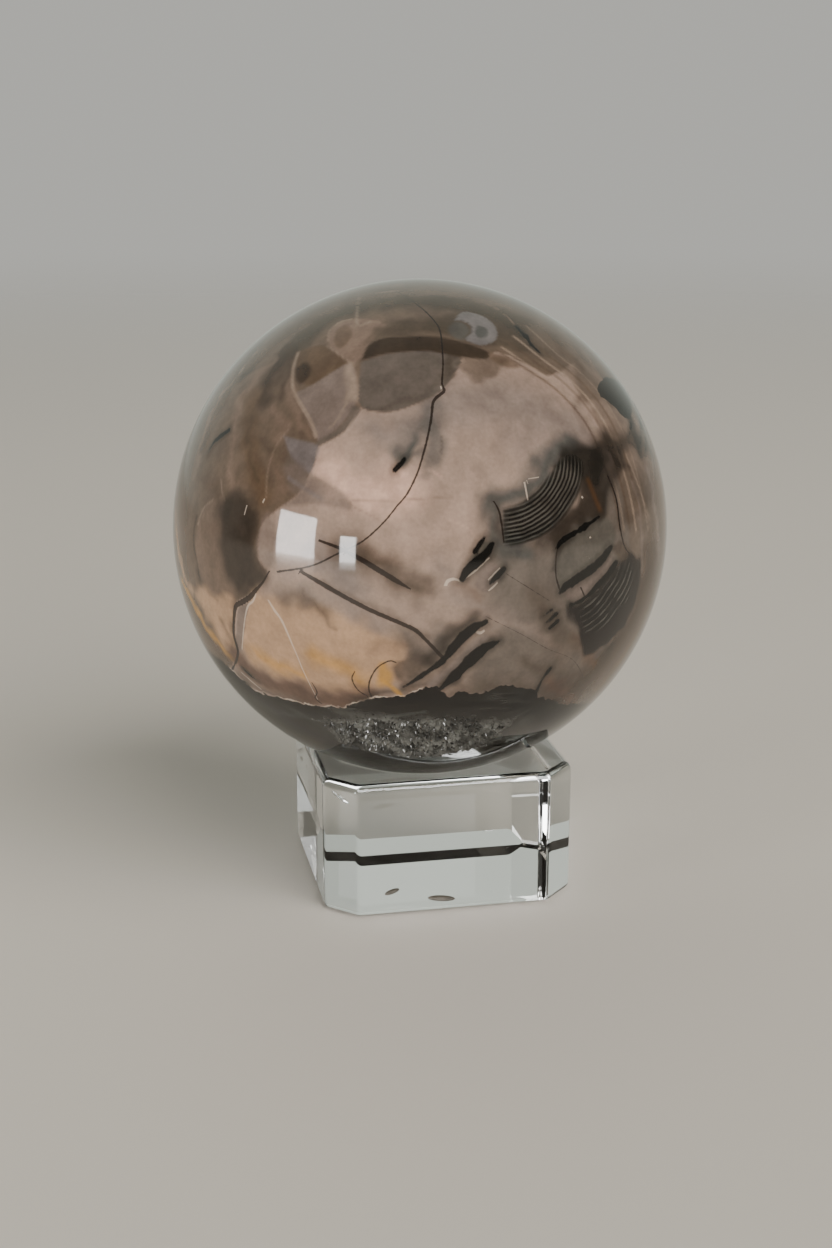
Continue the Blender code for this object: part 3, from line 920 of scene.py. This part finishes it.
def paint_back(canvas):
    """The unseen side, in keeping with the front and plainer."""
    canvas.back_layers((
        (TAUPE, AREA, 3, 0.75, [(-60, 60), (60, 60), (62, 6), (34, 14), (20, 24), (4, 20), (-8, 30),
         (-24, 24), (-40, 8), (-62, 12)]),
        (GREY_TAUPE, AREA, 0.6, 0.8, [(-30, 26), (-14, 18), (-6, 27), (-16, 38), (-32, 38)]),
        (LAVENDER, AREA, 0.6, 0.6, [(6, 22), (16, 17), (24, 24), (18, 34), (8, 32)]),
        (OLIVE, AREA, 8, 0.7, [(24, 40), (40, 20), (56, 10), (60, 36), (40, 52)]),
        (PEACH, AREA, 6, 0.6, [(-30, -14), (-12, -18), (2, -20), (6, -10), (-10, -6), (-28, -6)]),
        (AMBER, 2.5, 3, 0.6, [(-26, -15), (-14, -18), (-2, -19)]),
        (PALE_CREAM, 0.7, 0.8, 0.5, [(-31, 25), (-20, 17), (-9, 24), (-3, 33)]),
        (SMOKE, AREA, 5, 0.5, [(-10, 6), (-3, 13), (-7, 16), (-14, 12)]),
        (FAN_PLUM, AREA, 4, 0.6, [(18, -12), (28, -8), (34, 2), (24, 6), (16, -2)]),
    ))


# The two ribbed fans: middle and two radii in pixels, number of ribs, and the outline that they fill

FANS = (
    ((498, 447), (505, 510), (507, 543), 7.5,
     [(503, 509), (521, 503), (536, 490), (550, 474), (560, 460), (572, 456),
      (582, 463), (580, 490), (566, 516), (550, 532), (530, 543), (504, 545)]),
    ((556, 535), (596, 592), (614, 630), 8.5,
     [(577, 605), (588, 600), (603, 588), (614, 574), (622, 562), (631, 558),
      (635, 570), (630, 600), (610, 622), (594, 634), (584, 632), (581, 618)]),
)


def fan_marks(flat):
    """The number of the rib that each place is at, and how much of it shows."""
    phase = np.zeros(len(flat))
    share = np.zeros(len(flat))
    for middle, inner, outer, ribs, outline in FANS:
        hub, near, far = spots([middle, inner, outer])
        start = np.linalg.norm(near - hub)
        step = (np.linalg.norm(far - hub) - start) / ribs
        inside = 1 - soft_step(outside(flat, spots(outline)), -1.0, 0.5)
        away = np.hypot(*(flat - hub).T)
        phase = np.where(inside > 0, (away - start) / step, phase)
        share = np.maximum(share, inside)
    return phase, share


# The crystals in the hollow


def hollow_map(ways):
    """The flat map around the hollow's middle, in mm."""
    across = math.cos(HOLLOW_ELEVATION)
    out = (across * math.sin(HOLLOW_AZIMUTH), -across * math.cos(HOLLOW_AZIMUTH), math.sin(HOLLOW_ELEVATION))
    return lay_flat(ways, out)


def hollow_share(flat):
    """0 at the hollow's middle and 1 on its rim."""
    across = flat[:, 0] / (HOLLOW_WIDTH_MM / 2)
    along = flat[:, 1] / (HOLLOW_HEIGHT_MM / 2)
    wander = 1 + HOLLOW_WAVE_SHARE * np.sin(HOLLOW_WAVES * np.arctan2(along, across))
    return np.hypot(across, along) / wander


def crystal_heights(flat):
    """A crust of small pyramids that grow into one another, in mm above the hollow's floor."""
    draw = np.random.default_rng(CRYSTAL_SEED)
    heights = np.zeros(len(flat))
    half_x, half_y = HOLLOW_WIDTH_MM / 2, HOLLOW_HEIGHT_MM / 2
    for x in np.arange(-half_x, half_x, CRYSTAL_SPACING_MM):
        for y in np.arange(-half_y, half_y, CRYSTAL_SPACING_MM):
            shift = draw.uniform(-CRYSTAL_SHIFT, CRYSTAL_SHIFT, 2)
            middle = np.array([x, y]) + shift * CRYSTAL_SPACING_MM
            top = draw.uniform(*CRYSTAL_TOP_MM)
            steep = draw.uniform(*CRYSTAL_STEEPNESS)
            turn = draw.uniform(0, math.pi)
            lean = draw.uniform(-CRYSTAL_LEAN, CRYSTAL_LEAN, 2)
            near = np.hypot(*(flat - middle).T) < CRYSTAL_REACH_MM
            offset = flat[near] - middle
            corners = turn + np.arange(6) * math.pi / 3
            sides = offset @ np.stack([np.cos(corners), np.sin(corners)])
            cone = top - steep * sides.max(axis=1) + offset @ lean
            heights[near] = np.maximum(heights[near], cone)
    return heights


def refine(mesh, chosen):
    """Cuts each chosen face in four."""
    edges = {edge for face in chosen for edge in face.edges}
    bmesh.ops.subdivide_edges(mesh, edges=list(edges), cuts=1, use_grid_fill=True)
    bmesh.ops.triangulate(mesh, faces=[face for face in mesh.faces if len(face.verts) > 3])


def ball_mesh():
    """A ball that is finer on the front, and finest where the crystals are."""
    mesh = bmesh.new()
    bmesh.ops.create_icosphere(mesh, subdivisions=BALL_SUBDIVISIONS, radius=1.0)
    for cap in (SIDE_CAP, FRONT_CAP):
        least = math.cos(cap)
        ways = {face: face.calc_center_median().normalized() for face in mesh.faces}
        refine(mesh, [face for face, way in ways.items() if way.dot(Vector(FRONT)) > least])
    for _ in range(DRUSE_REFINEMENTS):
        mesh.faces.ensure_lookup_table()
        middles = np.array([face.calc_center_median().normalized() for face in mesh.faces])
        inside = hollow_share(hollow_map(middles)) < DRUSE_REFINED_SHARE
        refine(mesh, [mesh.faces[i] for i in np.flatnonzero(inside)])
    return mesh_data("polished_sphere", mesh)


def read_points(data):
    points = np.empty(len(data.vertices) * 3)
    data.vertices.foreach_get("co", points)
    return points.reshape(-1, 3)


def store(data, name, values):
    """Keeps one number, or one colour, for each point of the mesh, for the material to read."""
    if values.ndim == 1:
        layer = data.attributes.new(name, "FLOAT", "POINT")
        layer.data.foreach_set("value", values.astype(np.float32))
        return
    layer = data.attributes.new(name, "FLOAT_COLOR", "POINT")
    layer.data.foreach_set("color", np.hstack([values, np.ones((len(values), 1))]).astype(np.float32).ravel())


def shade_ball(data, hollow):
    """Smooth stone, with flat faces on the crystals."""
    corners = np.empty(len(data.polygons) * 3, np.int32)
    data.polygons.foreach_get("vertices", corners)
    crystals = (hollow[corners.reshape(-1, 3)] < CRYSTAL_EDGE_SHARE).all(axis=1)
    data.shade_smooth()
    data.polygons.foreach_set("use_smooth", ~crystals)


def make_ball():
    data = ball_mesh()
    ways = read_points(data)
    ways /= np.linalg.norm(ways, axis=1, keepdims=True)
    around_hollow = hollow_map(ways)
    hollow = hollow_share(around_hollow)
    depth = HOLLOW_DEPTH_MM * np.clip((1 - hollow) / HOLLOW_WALL_SHARE, 0, 1)
    crust = np.where(hollow < 1, crystal_heights(around_hollow), 0)
    reach = BALL_MM - np.maximum(depth - crust, 0)
    points = ways * reach[:, None] / 1000 + np.array(BALL_CENTRE)
    data.vertices.foreach_set("co", points.ravel())
    shade_ball(data, hollow)
    paint_ball(data, ways, hollow)
    ball = add_object("polished_sphere", data)
    data.materials.append(stone_material())
    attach(ball, "root")
    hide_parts("stone_sphere")
    return ball


def store_marks(data, ways, front):
    """Keeps the distances from which the material draws the crisp marks of the front and the back."""
    back = lay_flat(ways, BEHIND)
    behind = ways @ BEHIND > BEHIND_FROM
    ink = thick_marks(front, [front_stroke(s) for s in INK_STROKES.values()])
    back_ink = thick_marks(back, [back_stroke(s) for s in BACK_INK.values()])
    cracks = thin_marks(front, [front_stroke(s) for s in CRACKS.values()], THIN_REACH_MM)
    back_cracks = thin_marks(back, [back_stroke(s) for s in BACK_CRACKS.values()], BACK_THIN_REACH_MM)
    # The pale lines, with the painted glints among them
    light = thin_marks(front, [front_stroke(s) for s in PALE_LINES_AND_GLINTS.values()], THIN_REACH_MM)
    ribs = fan_marks(front)
    for name, here, there in (
        ("ink", ink, back_ink),
        ("blob", outside(front, spots(BLOB_PIXELS)), FAR_MM),
        ("crack_side", cracks[0], back_cracks[0]),
        ("crack_width", cracks[1], back_cracks[1]),
        ("light_side", light[0], FAR_MM),
        ("light_width", light[1], -1.0),
        ("rib_phase", ribs[0], 0),
        ("rib_share", ribs[1], 0),
    ):
        store(data, name, np.where(behind, there, here))


def paint_ball(data, ways, hollow):
    canvas = Canvas(ways, LIGHT_STONE)
    for paint in (
        paint_back, paint_light_zone, paint_mantle, paint_sheets, paint_limb_shade, paint_left_side, paint_amber,
        paint_right_side, paint_smoke,
    ):
        paint(canvas)
    store(data, "tint", canvas.colour * STONE_DEPTH)
    store_marks(data, ways, canvas.front)
    base = Canvas(ways, BASE_DARK)
    paint_base(base)
    store(data, "base_tint", base.colour * STONE_DEPTH)
    store(data, "shore", shore_height(ways))
    # The painted highlight along the ragged edge, strongest near its line
    highlight_line, _ = smooth_line(spots(SHORE_HIGHLIGHT_PIXELS))
    from_highlight_line = np.abs(beside(canvas.front, highlight_line)[0])
    store(data, "shore_highlight", 1 - soft_step(from_highlight_line, *SHORE_HIGHLIGHT_FADES_MM))
    store(data, "druse", 1 - soft_step(hollow, *DRUSE_FADES))
    store(data, "druse_ground", 1 - THREAD_LOSS * soft_step(hollow, *THREAD_FADES))
    store(data, "veil", soft_step(-(ways @ FRONT), *VEIL_GROWS))


# Materials


def add_node(tree, kind, **settings):
    node = tree.nodes.new("ShaderNode" + kind)
    for name, value in settings.items():
        setattr(node, name, value)
    return node


def connect(tree, *pairs):
    """Links each output to the socket after it."""
    for output, socket in pairs:
        tree.links.new(output, socket)


class Graph:
    """Short words for the nodes of one material."""

    def __init__(self, name):
        self.material = bpy.data.materials.new(name)
        self.material.use_nodes = True
        self.tree = self.material.node_tree
        self.shader = self.tree.nodes["Principled BSDF"]
        self.place = add_node(self.tree, "TexCoord").outputs["Object"]

    def put(self, socket, value):
        if isinstance(value, bpy.types.NodeSocket):
            self.tree.links.new(value, socket)
        elif isinstance(value, tuple) and len(value) == 3 and socket.type == "RGBA":
            socket.default_value = (*value, 1.0)
        else:
            socket.default_value = value

    def set(self, name, value):
        self.put(self.shader.inputs[name], value)

    def stored(self, name, kind="Fac"):
        return add_node(self.tree, "Attribute", attribute_name=name).outputs[kind]

    def math(self, operation, first, second=0.0):
        node = add_node(self.tree, "Math", operation=operation)
        self.put(node.inputs[0], first)
        self.put(node.inputs[1], second)
        return node.outputs[0]

    def times(self, first, second):
        return self.math("MULTIPLY", first, second)

    def plus(self, first, second):
        return self.math("ADD", first, second)

    def sway(self, noise, amount):
        """Noise from 0 to 1, made to swing to both sides of 0, this much from end to end."""
        return self.times(self.math("SUBTRACT", noise, 0.5), amount)

    def mix(self, share, first, second, blend="MIX"):
        node = add_node(self.tree, "Mix", data_type="RGBA", blend_type=blend)
        self.put(node.inputs["Factor"], share)
        self.put(node.inputs[6], first)
        self.put(node.inputs[7], second)
        return node.outputs[2]

    def ease(self, value, low, high, first=0.0, last=1.0):
        """Goes smoothly from first to last as the value goes from low to high."""
        node = add_node(self.tree, "MapRange", interpolation_type="SMOOTHSTEP")
        self.put(node.inputs["Value"], value)
        for name, number in zip(("From Min", "From Max", "To Min", "To Max"), (low, high, first, last)):
            node.inputs[name].default_value = number
        return node.outputs["Result"]

    def noise(self, size_mm, detail=3.0, stretch=(1, 1, 1), twist=0.0):
        """Cloudy noise from 0 to 1, whose clouds are about this size."""
        spread = add_node(self.tree, "Mapping")
        spread.inputs["Scale"].default_value = stretch
        self.put(spread.inputs["Vector"], self.place)
        node = add_node(self.tree, "TexNoise")
        node.inputs["Scale"].default_value = 1000 / size_mm / 2
        node.inputs["Detail"].default_value = detail
        node.inputs["Distortion"].default_value = twist
        self.put(node.inputs["Vector"], spread.outputs["Vector"])
        return node.outputs["Fac"]

    def bump(self, height, depth_mm):
        node = add_node(self.tree, "Bump")
        node.inputs["Distance"].default_value = depth_mm / 1000
        self.put(node.inputs["Height"], height)
        self.put(self.shader.inputs["Normal"], node.outputs["Normal"])


def thin_share(graph, name, rough):
    """How much of a thin line shows: 1 on it and 0 off it, with a slightly rough edge."""
    half = graph.times(graph.stored(name + "_width"), 0.5)
    away = graph.math("ABSOLUTE", graph.stored(name + "_side"))
    gap = graph.plus(graph.math("SUBTRACT", away, half), rough)
    return graph.ease(gap, -0.06, 0.07, 1.0, 0.0)


def clouded(graph, clouds, mottle, grain):
    """The painted layers, shaded by noise of several sizes, and veiled on the far side."""
    streaks = graph.noise(2.4, 4.0, stretch=(1, 1, 0.25), twist=0.5)
    veil = graph.times(graph.stored("veil"), graph.ease(clouds, 0.45, 0.68, 0.0, 0.75))
    colour = graph.mix(veil, graph.stored("tint", "Color"), OLIVE_STREAK)
    shade = graph.ease(mottle, 0.3, 0.7, 0.87, 1.1)
    shade = graph.times(shade, graph.ease(clouds, 0.3, 0.7, 0.9, 1.1))
    shade = graph.times(shade, graph.ease(streaks, 0.3, 0.7, 0.93, 1.06))
    shade = graph.times(shade, graph.ease(grain, 0.2, 0.8, 0.93, 1.07))
    grey = add_node(graph.tree, "CombineColor")
    for channel in grey.inputs:
        graph.put(channel, shade)
    return graph.mix(1.0, colour, grey.outputs["Color"], "MULTIPLY")


def with_ribs(graph, colour, mottle):
    """The dark and pale ribs of the two fans."""
    phase = graph.plus(graph.stored("rib_phase"), graph.sway(graph.noise(2.4, 3.0), 1.3))
    wave = graph.math("SINE", graph.times(phase, 2 * math.pi))
    clear = graph.times(graph.stored("rib_share"), graph.ease(mottle, 0.35, 0.6, 0.15, 1.0))
    dark_rib = graph.times(graph.ease(wave, -0.9, 0.7), graph.stored("rib_share"))
    pale_rib = graph.times(graph.ease(wave, -1.0, -0.3, 1.0, 0.0), clear)
    colour = graph.mix(graph.times(dark_rib, 0.75), colour, INK)
    return graph.mix(graph.times(pale_rib, 0.4), colour, RIB_GREY)


def with_ink(graph, colour, fray):
    """The grey blob and the ink strokes, each with a frayed edge."""
    blob_edge = graph.plus(graph.stored("blob"), fray)
    colour = graph.mix(graph.ease(blob_edge, -0.1, 0.15, 0.9, 0.0), colour, BLOB_GREY)
    ink_edge = graph.plus(graph.stored("ink"), fray)
    colour = graph.mix(graph.ease(ink_edge, 0.0, 1.1, 0.45, 0.0), colour, SMOKE)
    return graph.mix(graph.ease(ink_edge, -0.1, 0.15, 0.96, 0.0), colour, INK)


def with_base(graph, colour, clouds, mottle, fray):
    """The dark base below its ragged edge, with fine grey threads, and a broken pale line along the edge,
    which is a painted highlight where the edge is chipped.
    """
    ragged = graph.plus(fray, graph.sway(graph.noise(0.5, 4.0), 1.5))
    shore = graph.plus(graph.stored("shore"), ragged)
    # A broken painted highlight along the chipped edge, in WHITE_LINE
    rim = graph.times(graph.ease(shore, 0.1, 0.4, 1.0, 0.0), graph.stored("shore_highlight"))
    colour = graph.mix(graph.times(rim, graph.ease(mottle, 0.4, 0.6, 0.1, 0.7)), colour, WHITE_LINE)
    strands = graph.noise(7.0, 4.0, stretch=(0.7, 0.7, 2.4), twist=1.0)
    darkness = graph.ease(strands, 0.3, 0.47, 0.75, 0.0)
    base = graph.mix(darkness, graph.stored("base_tint", "Color"), BASE_BLACK)
    rings = graph.math("PINGPONG", graph.times(strands, 8.0), 0.5)
    thread = graph.times(graph.ease(rings, 0.1, 0.5), graph.ease(clouds, 0.42, 0.6, 0.05, 0.35))
    thread = graph.times(thread, graph.stored("druse_ground"))
    base = graph.mix(thread, base, BASE_STRAND)
    return graph.mix(graph.ease(shore, -0.08, 0.08, 1.0, 0.0), colour, base)


def with_crystals(graph, colour, mottle, grain, feathers):
    crystal = graph.mix(graph.ease(mottle, 0.4, 0.6), DRUSE_GREY, DRUSE_DARK)
    crystal = graph.mix(graph.ease(grain, 0.56, 0.66), crystal, BASE_BLACK)
    patchy = graph.times(graph.stored("druse"), graph.ease(feathers, 0.3, 0.6, 0.45, 0.9))
    return graph.mix(patchy, colour, crystal)


def stone_material():
    graph = Graph("polished_agate")
    clouds = graph.noise(9.0, 4.0, twist=0.6)
    mottle = graph.noise(1.3, 5.0)
    grain = graph.noise(0.28, 3.0)
    feathers = graph.noise(0.9, 4.0, stretch=(1, 1, 0.35), twist=0.8)
    fray = graph.plus(graph.sway(mottle, 0.6), graph.sway(feathers, 0.9))
    fine_fray = graph.sway(grain, 0.16)
    colour = clouded(graph, clouds, mottle, grain)
    # Pale lines of the stone, with the painted glints among them
    colour = graph.mix(graph.times(thin_share(graph, "light", fine_fray), 0.6), colour, WHITE_LINE)
    colour = with_ribs(graph, colour, mottle)
    colour = graph.mix(graph.times(thin_share(graph, "crack", fine_fray), 0.9), colour, CRACK_BROWN)
    colour = with_ink(graph, colour, fray)
    colour = with_base(graph, colour, clouds, mottle, fray)
    graph.set("Base Color", with_crystals(graph, colour, mottle, grain, feathers))
    graph.set("Roughness", graph.ease(graph.noise(0.6, 2.0), 0.3, 0.7, 0.035, 0.06))
    graph.set("IOR", STONE_IOR)
    graph.set("Subsurface Weight", 0.06)
    graph.set("Subsurface Radius", (1.0, 0.7, 0.5))
    graph.set("Subsurface Scale", 0.0008)
    return graph.material


def glass_material():
    graph = Graph("cast_glass")
    graph.set("Base Color", graph.mix(graph.noise(14.0, 2.0), GREENISH_GLASS, CLEAR_GLASS))
    graph.set("Transmission Weight", 1.0)
    graph.set("IOR", GLASS_IOR)
    graph.set("Roughness", graph.ease(graph.noise(5.0, 4.0), 0.55, 0.85, 0.0, 0.05))
    graph.bump(graph.noise(11.0, 1.0), 0.05)
    return graph.material


def bruise_material():
    """Crushed glass, dull and dark, in the flaws at the block's foot."""
    graph = Graph("bruised_glass")
    graph.set("Base Color", graph.mix(graph.noise(0.5, 4.0), BRUISE_DARK, BRUISE_PALE))
    graph.set("Roughness", graph.ease(graph.noise(0.4, 2.0), 0.3, 0.7, 0.6, 0.8))
    graph.set("Specular IOR Level", 0.1)
    return graph.material


# The glass block


def turned(eighths):
    """The flat direction this many eighths of a full turn from +X."""
    return Vector((math.cos(eighths * math.pi / 4), math.sin(eighths * math.pi / 4)))


def block_ring(inset, height):
    """The block's outline this far in from its sides, with its eight upright edges rounded."""
    half = ((BLOCK_HIGH.x - BLOCK_LOW.x) / 2, (BLOCK_HIGH.y - BLOCK_LOW.y) / 2)
    cut_side = (half[0] + half[1] - CORNER_CHAMFER) / math.sqrt(2)
    reach = [side - inset - UPRIGHT_ROUND for side in (half[0], cut_side, half[1], cut_side) * 2]
    strip = FLAT_STRIP / UPRIGHT_ROUND
    points = []
    for number in range(8):
        normal, following = turned(number), turned(number + 1)
        cross = normal.x * following.y - normal.y * following.x
        here, there = reach[number], reach[(number + 1) % 8]
        across = here * following.y - there * normal.y
        along = there * normal.x - here * following.x
        middle = Vector((across, along)) / cross
        steps = [turned(number + step / UPRIGHT_STEPS) for step in range(UPRIGHT_STEPS + 1)]
        before = normal + Vector((normal.y, -normal.x)) * strip
        after = following + Vector((-following.y, following.x)) * strip
        points += [(*(middle + step * UPRIGHT_ROUND), height) for step in (before, *steps, after)]
    return points


def block_profile(height):
    """The block's side from its foot to its top face, as steps of how far in and how high."""
    profile = [(FOOT_BEVEL + FLAT_STRIP, 0.0)]
    for step in range(FOOT_STEPS + 1):
        turn = step / FOOT_STEPS * math.pi / 2
        profile.append((FOOT_BEVEL * (1 - math.sin(turn)), FOOT_BEVEL * (1 - math.cos(turn))))
    profile += [(0.0, FOOT_BEVEL + FLAT_STRIP), (0.0, height - TOP_ROUND - FLAT_STRIP)]
    for step in range(TOP_STEPS + 1):
        turn = step / TOP_STEPS * math.pi / 2
        profile.append((TOP_ROUND * (1 - math.cos(turn)), height - TOP_ROUND * (1 - math.sin(turn))))
    return profile + [(TOP_ROUND + FLAT_STRIP, height)]


def cut_from(obj, cutter):
    """Takes the cutter's shape out of the object, and the cutter out of the scene."""
    tool = obj.modifiers.new("cut", "BOOLEAN")
    tool.operation = "DIFFERENCE"
    tool.solver = "EXACT"
    tool.object = cutter
    shape = obj.evaluated_get(bpy.context.evaluated_depsgraph_get())
    data = bpy.data.meshes.new_from_object(shape)
    obj.modifiers.clear()
    obj.data = data
    bpy.data.objects.remove(cutter, do_unlink=True)


def ball_cutter(centre, size, segments, rings, tilt=0.0, turn=0.0):
    """An egg-shaped cutter with these three half widths."""
    mesh = bmesh.new()
    bmesh.ops.create_uvsphere(mesh, u_segments=segments, v_segments=rings, radius=1.0)
    for face in mesh.faces:
        face.smooth = True
    cutter = add_object("cutter", mesh_data("cutter", mesh))
    cutter.location = centre
    cutter.scale = size
    cutter.rotation_euler = (0, tilt, turn)
    return cutter


def block_mesh():
    rings = [block_ring(inset, height) for inset, height in block_profile(BLOCK_HIGH.z - BLOCK_LOW.z)]
    count = len(rings[0])
    faces = [tuple(reversed(range(count)))]
    for ring in range(len(rings) - 1):
        for i in range(count):
            low, lower_next = ring * count + i, ring * count + (i + 1) % count
            faces.append((low, lower_next, lower_next + count, low + count))
    faces.append(tuple(range((len(rings) - 1) * count, len(rings) * count)))
    data = bpy.data.meshes.new("glass_block")
    data.from_pydata([point for ring in rings for point in ring], [], faces)
    return data


def bar_cutter():
    """A bar on its edge, along the foot of the block's back."""
    side = BACK_FOOT_BEVEL * 2
    out = side / 2 / math.sqrt(2)
    mesh = bmesh.new()
    bmesh.ops.create_cube(mesh, size=1)
    bar = add_object("bar", mesh_data("bar", mesh))
    middle = BACK_FOOT_BEVEL / 2 - out
    bar.location = ((BLOCK_LOW.x + BLOCK_HIGH.x) / 2, BLOCK_HIGH.y - middle, middle)
    bar.scale = (2 * (BLOCK_HIGH.x - BLOCK_LOW.x), side, side)
    bar.rotation_euler = (math.pi / 4, 0, 0)
    return bar


def mark_bruises(block):
    """Gives the faces inside the two flaws the second material."""
    for face in block.data.polygons:
        middle = face.center + block.location
        near = any((middle - Vector(centre)).length < size[0] for centre, size, _, _ in BRUISES)
        face.material_index = int(near and middle.y > BLOCK_LOW.y + FLAT_STRIP / 10)


def make_block():
    block = add_object("glass_block", block_mesh())
    block.location = ((BLOCK_LOW.x + BLOCK_HIGH.x) / 2, (BLOCK_LOW.y + BLOCK_HIGH.y) / 2, BLOCK_LOW.z)
    bpy.context.view_layer.update()
    dish = BALL_RADIUS + DISH_CLEARANCE
    cut_from(block, ball_cutter(BALL_CENTRE, (dish, dish, dish), *DISH_STEPS))
    cut_from(block, bar_cutter())
    for centre, size, tilt, turn in CHIPS + BRUISES:
        cut_from(block, ball_cutter(centre, size, *CHIP_STEPS, tilt, turn))
    block.data.shade_smooth()
    block.data.set_sharp_from_angle(angle=SHARP_ANGLE)
    block.data.materials.clear()
    block.data.materials.append(glass_material())
    block.data.materials.append(bruise_material())
    mark_bruises(block)
    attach(block, "root")
    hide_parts("glass_stand")
    return block


# Floor, light and sky


def fade_far_away(graph):
    """Lets the floor run out into the backdrop, so that no edge of it shows behind the ball."""
    away = add_node(graph.tree, "VectorMath", operation="LENGTH")
    share = graph.ease(away.outputs["Value"], FLOOR_FADE_FROM, FLOOR_FADE_TO)
    clear = add_node(graph.tree, "BsdfTransparent")
    either = add_node(graph.tree, "MixShader")
    connect(
        graph.tree,
        (graph.place, away.inputs[0]),
        (share, either.inputs["Fac"]),
        (graph.shader.outputs["BSDF"], either.inputs[1]),
        (clear.outputs["BSDF"], either.inputs[2]),
        (either.outputs["Shader"], graph.tree.nodes["Material Output"].inputs["Surface"]),
    )


def make_floor():
    mesh = bmesh.new()
    bmesh.ops.create_circle(mesh, cap_ends=True, segments=128, radius=FLOOR_RADIUS)
    floor = add_object("floor", mesh_data("floor", mesh))
    floor.location.z = -FLOOR_GAP
    graph = Graph("pale_floor")
    graph.set("Base Color", PALE_FLOOR)
    graph.set("Roughness", 0.6)
    floor.data.materials.append(graph.material)
    fade_far_away(graph)


def soft_light(name, towards, distance, size, power, colour=WHITE, unseen_by=()):
    """A rectangular light that shines at the ball's middle, and that some kinds of rays don't see."""
    towards = Vector(towards).normalized()
    data = bpy.data.lights.new(name, "AREA")
    data.shape = "RECTANGLE"
    data.size, data.size_y = size
    data.energy = power
    data.color = colour
    light = add_object(name, data)
    light.location = BALL_CENTRE + towards * distance
    light.rotation_euler = towards.to_track_quat("Z", "Y").to_euler()
    for rays in ("camera", *unseen_by):
        setattr(light, "visible_" + rays, False)
    return light


def mirrored(pixel):
    """Where a light has to be for the ball to mirror it at this pixel."""
    normal, _ = way_at(pixel)
    to_eye = (EYE - (BALL_CENTRE + normal * BALL_RADIUS)).normalized()
    return (2 * normal.dot(to_eye) * normal - to_eye).normalized()


def make_sky():
    """A studio that is pale behind the ball and dim on the camera's side, and one even tone to the camera."""
    world = bpy.data.worlds.new("studio")
    world.use_nodes = True
    tree = world.node_tree
    studio = tree.nodes["Background"]
    studio.inputs["Strength"].default_value = STUDIO_STRENGTH
    place = add_node(tree, "TexCoord")
    lean = add_node(tree, "VectorMath", operation="DOT_PRODUCT")
    lean.inputs[1].default_value = STUDIO_LEAN
    ramp = add_node(tree, "ValToRGB")
    for stop, (share, tint) in zip(ramp.color_ramp.elements, STUDIO_TONES):
        stop.position = share
        stop.color = (*tint, 1)
    backdrop = add_node(tree, "Background")
    backdrop.inputs["Color"].default_value = (*BACKDROP, 1)
    backdrop.inputs["Strength"].default_value = BACKDROP_STRENGTH
    path = add_node(tree, "LightPath")
    either = add_node(tree, "MixShader")
    connect(
        tree,
        (place.outputs["Generated"], lean.inputs[0]),
        (lean.outputs["Value"], ramp.inputs["Fac"]),
        (ramp.outputs["Color"], studio.inputs["Color"]),
        (path.outputs["Is Camera Ray"], either.inputs["Fac"]),
        (studio.outputs["Background"], either.inputs[1]),
        (backdrop.outputs["Background"], either.inputs[2]),
        (either.outputs["Shader"], tree.nodes["World Output"].inputs["Surface"]),
    )
    bpy.context.scene.world = world


def make_lights(block):
    """Two keys that the ball mirrors, a fill, three lights for the glass alone, and the block's own panel."""
    soft_light("key", mirrored(KEY_PIXEL), NEAR, (0.30, 0.48), 8, KEY_WHITE)
    soft_light("small_key", mirrored(SMALL_KEY_PIXEL), NEAR, (0.11, 0.22), 1.6, KEY_WHITE)
    soft_light("fill", (0.42, -0.72, 0.55), FAR, (2.8, 2.8), 124, FILL_WHITE, ("glossy", "transmission"))
    for name, towards, side, power in (
        ("top_edge_light", (0.4, 0.4, 0.85), 0.4, 3),
        ("side_edge_light", (-0.75, -0.17, 0.65), 0.4, 3),
        ("front_card", (0.27, -0.93, 0.22), 0.5, 1.2),
    ):
        soft_light(name, towards, NEAR, (side, side), power, unseen_by=("glossy", "diffuse"))
    above = (0.19, -0.4, 0.88)
    panel = soft_light("panel", above, NEAR, (1.9, 1.5), 178, unseen_by=("transmission", "diffuse"))
    mirrors = bpy.data.collections.new("mirrors_the_panel")
    mirrors.objects.link(block)
    panel.light_linking.receiver_collection = mirrors


make_camera()
make_ball()
glass_block = make_block()
make_floor()
make_sky()
make_lights(glass_block)
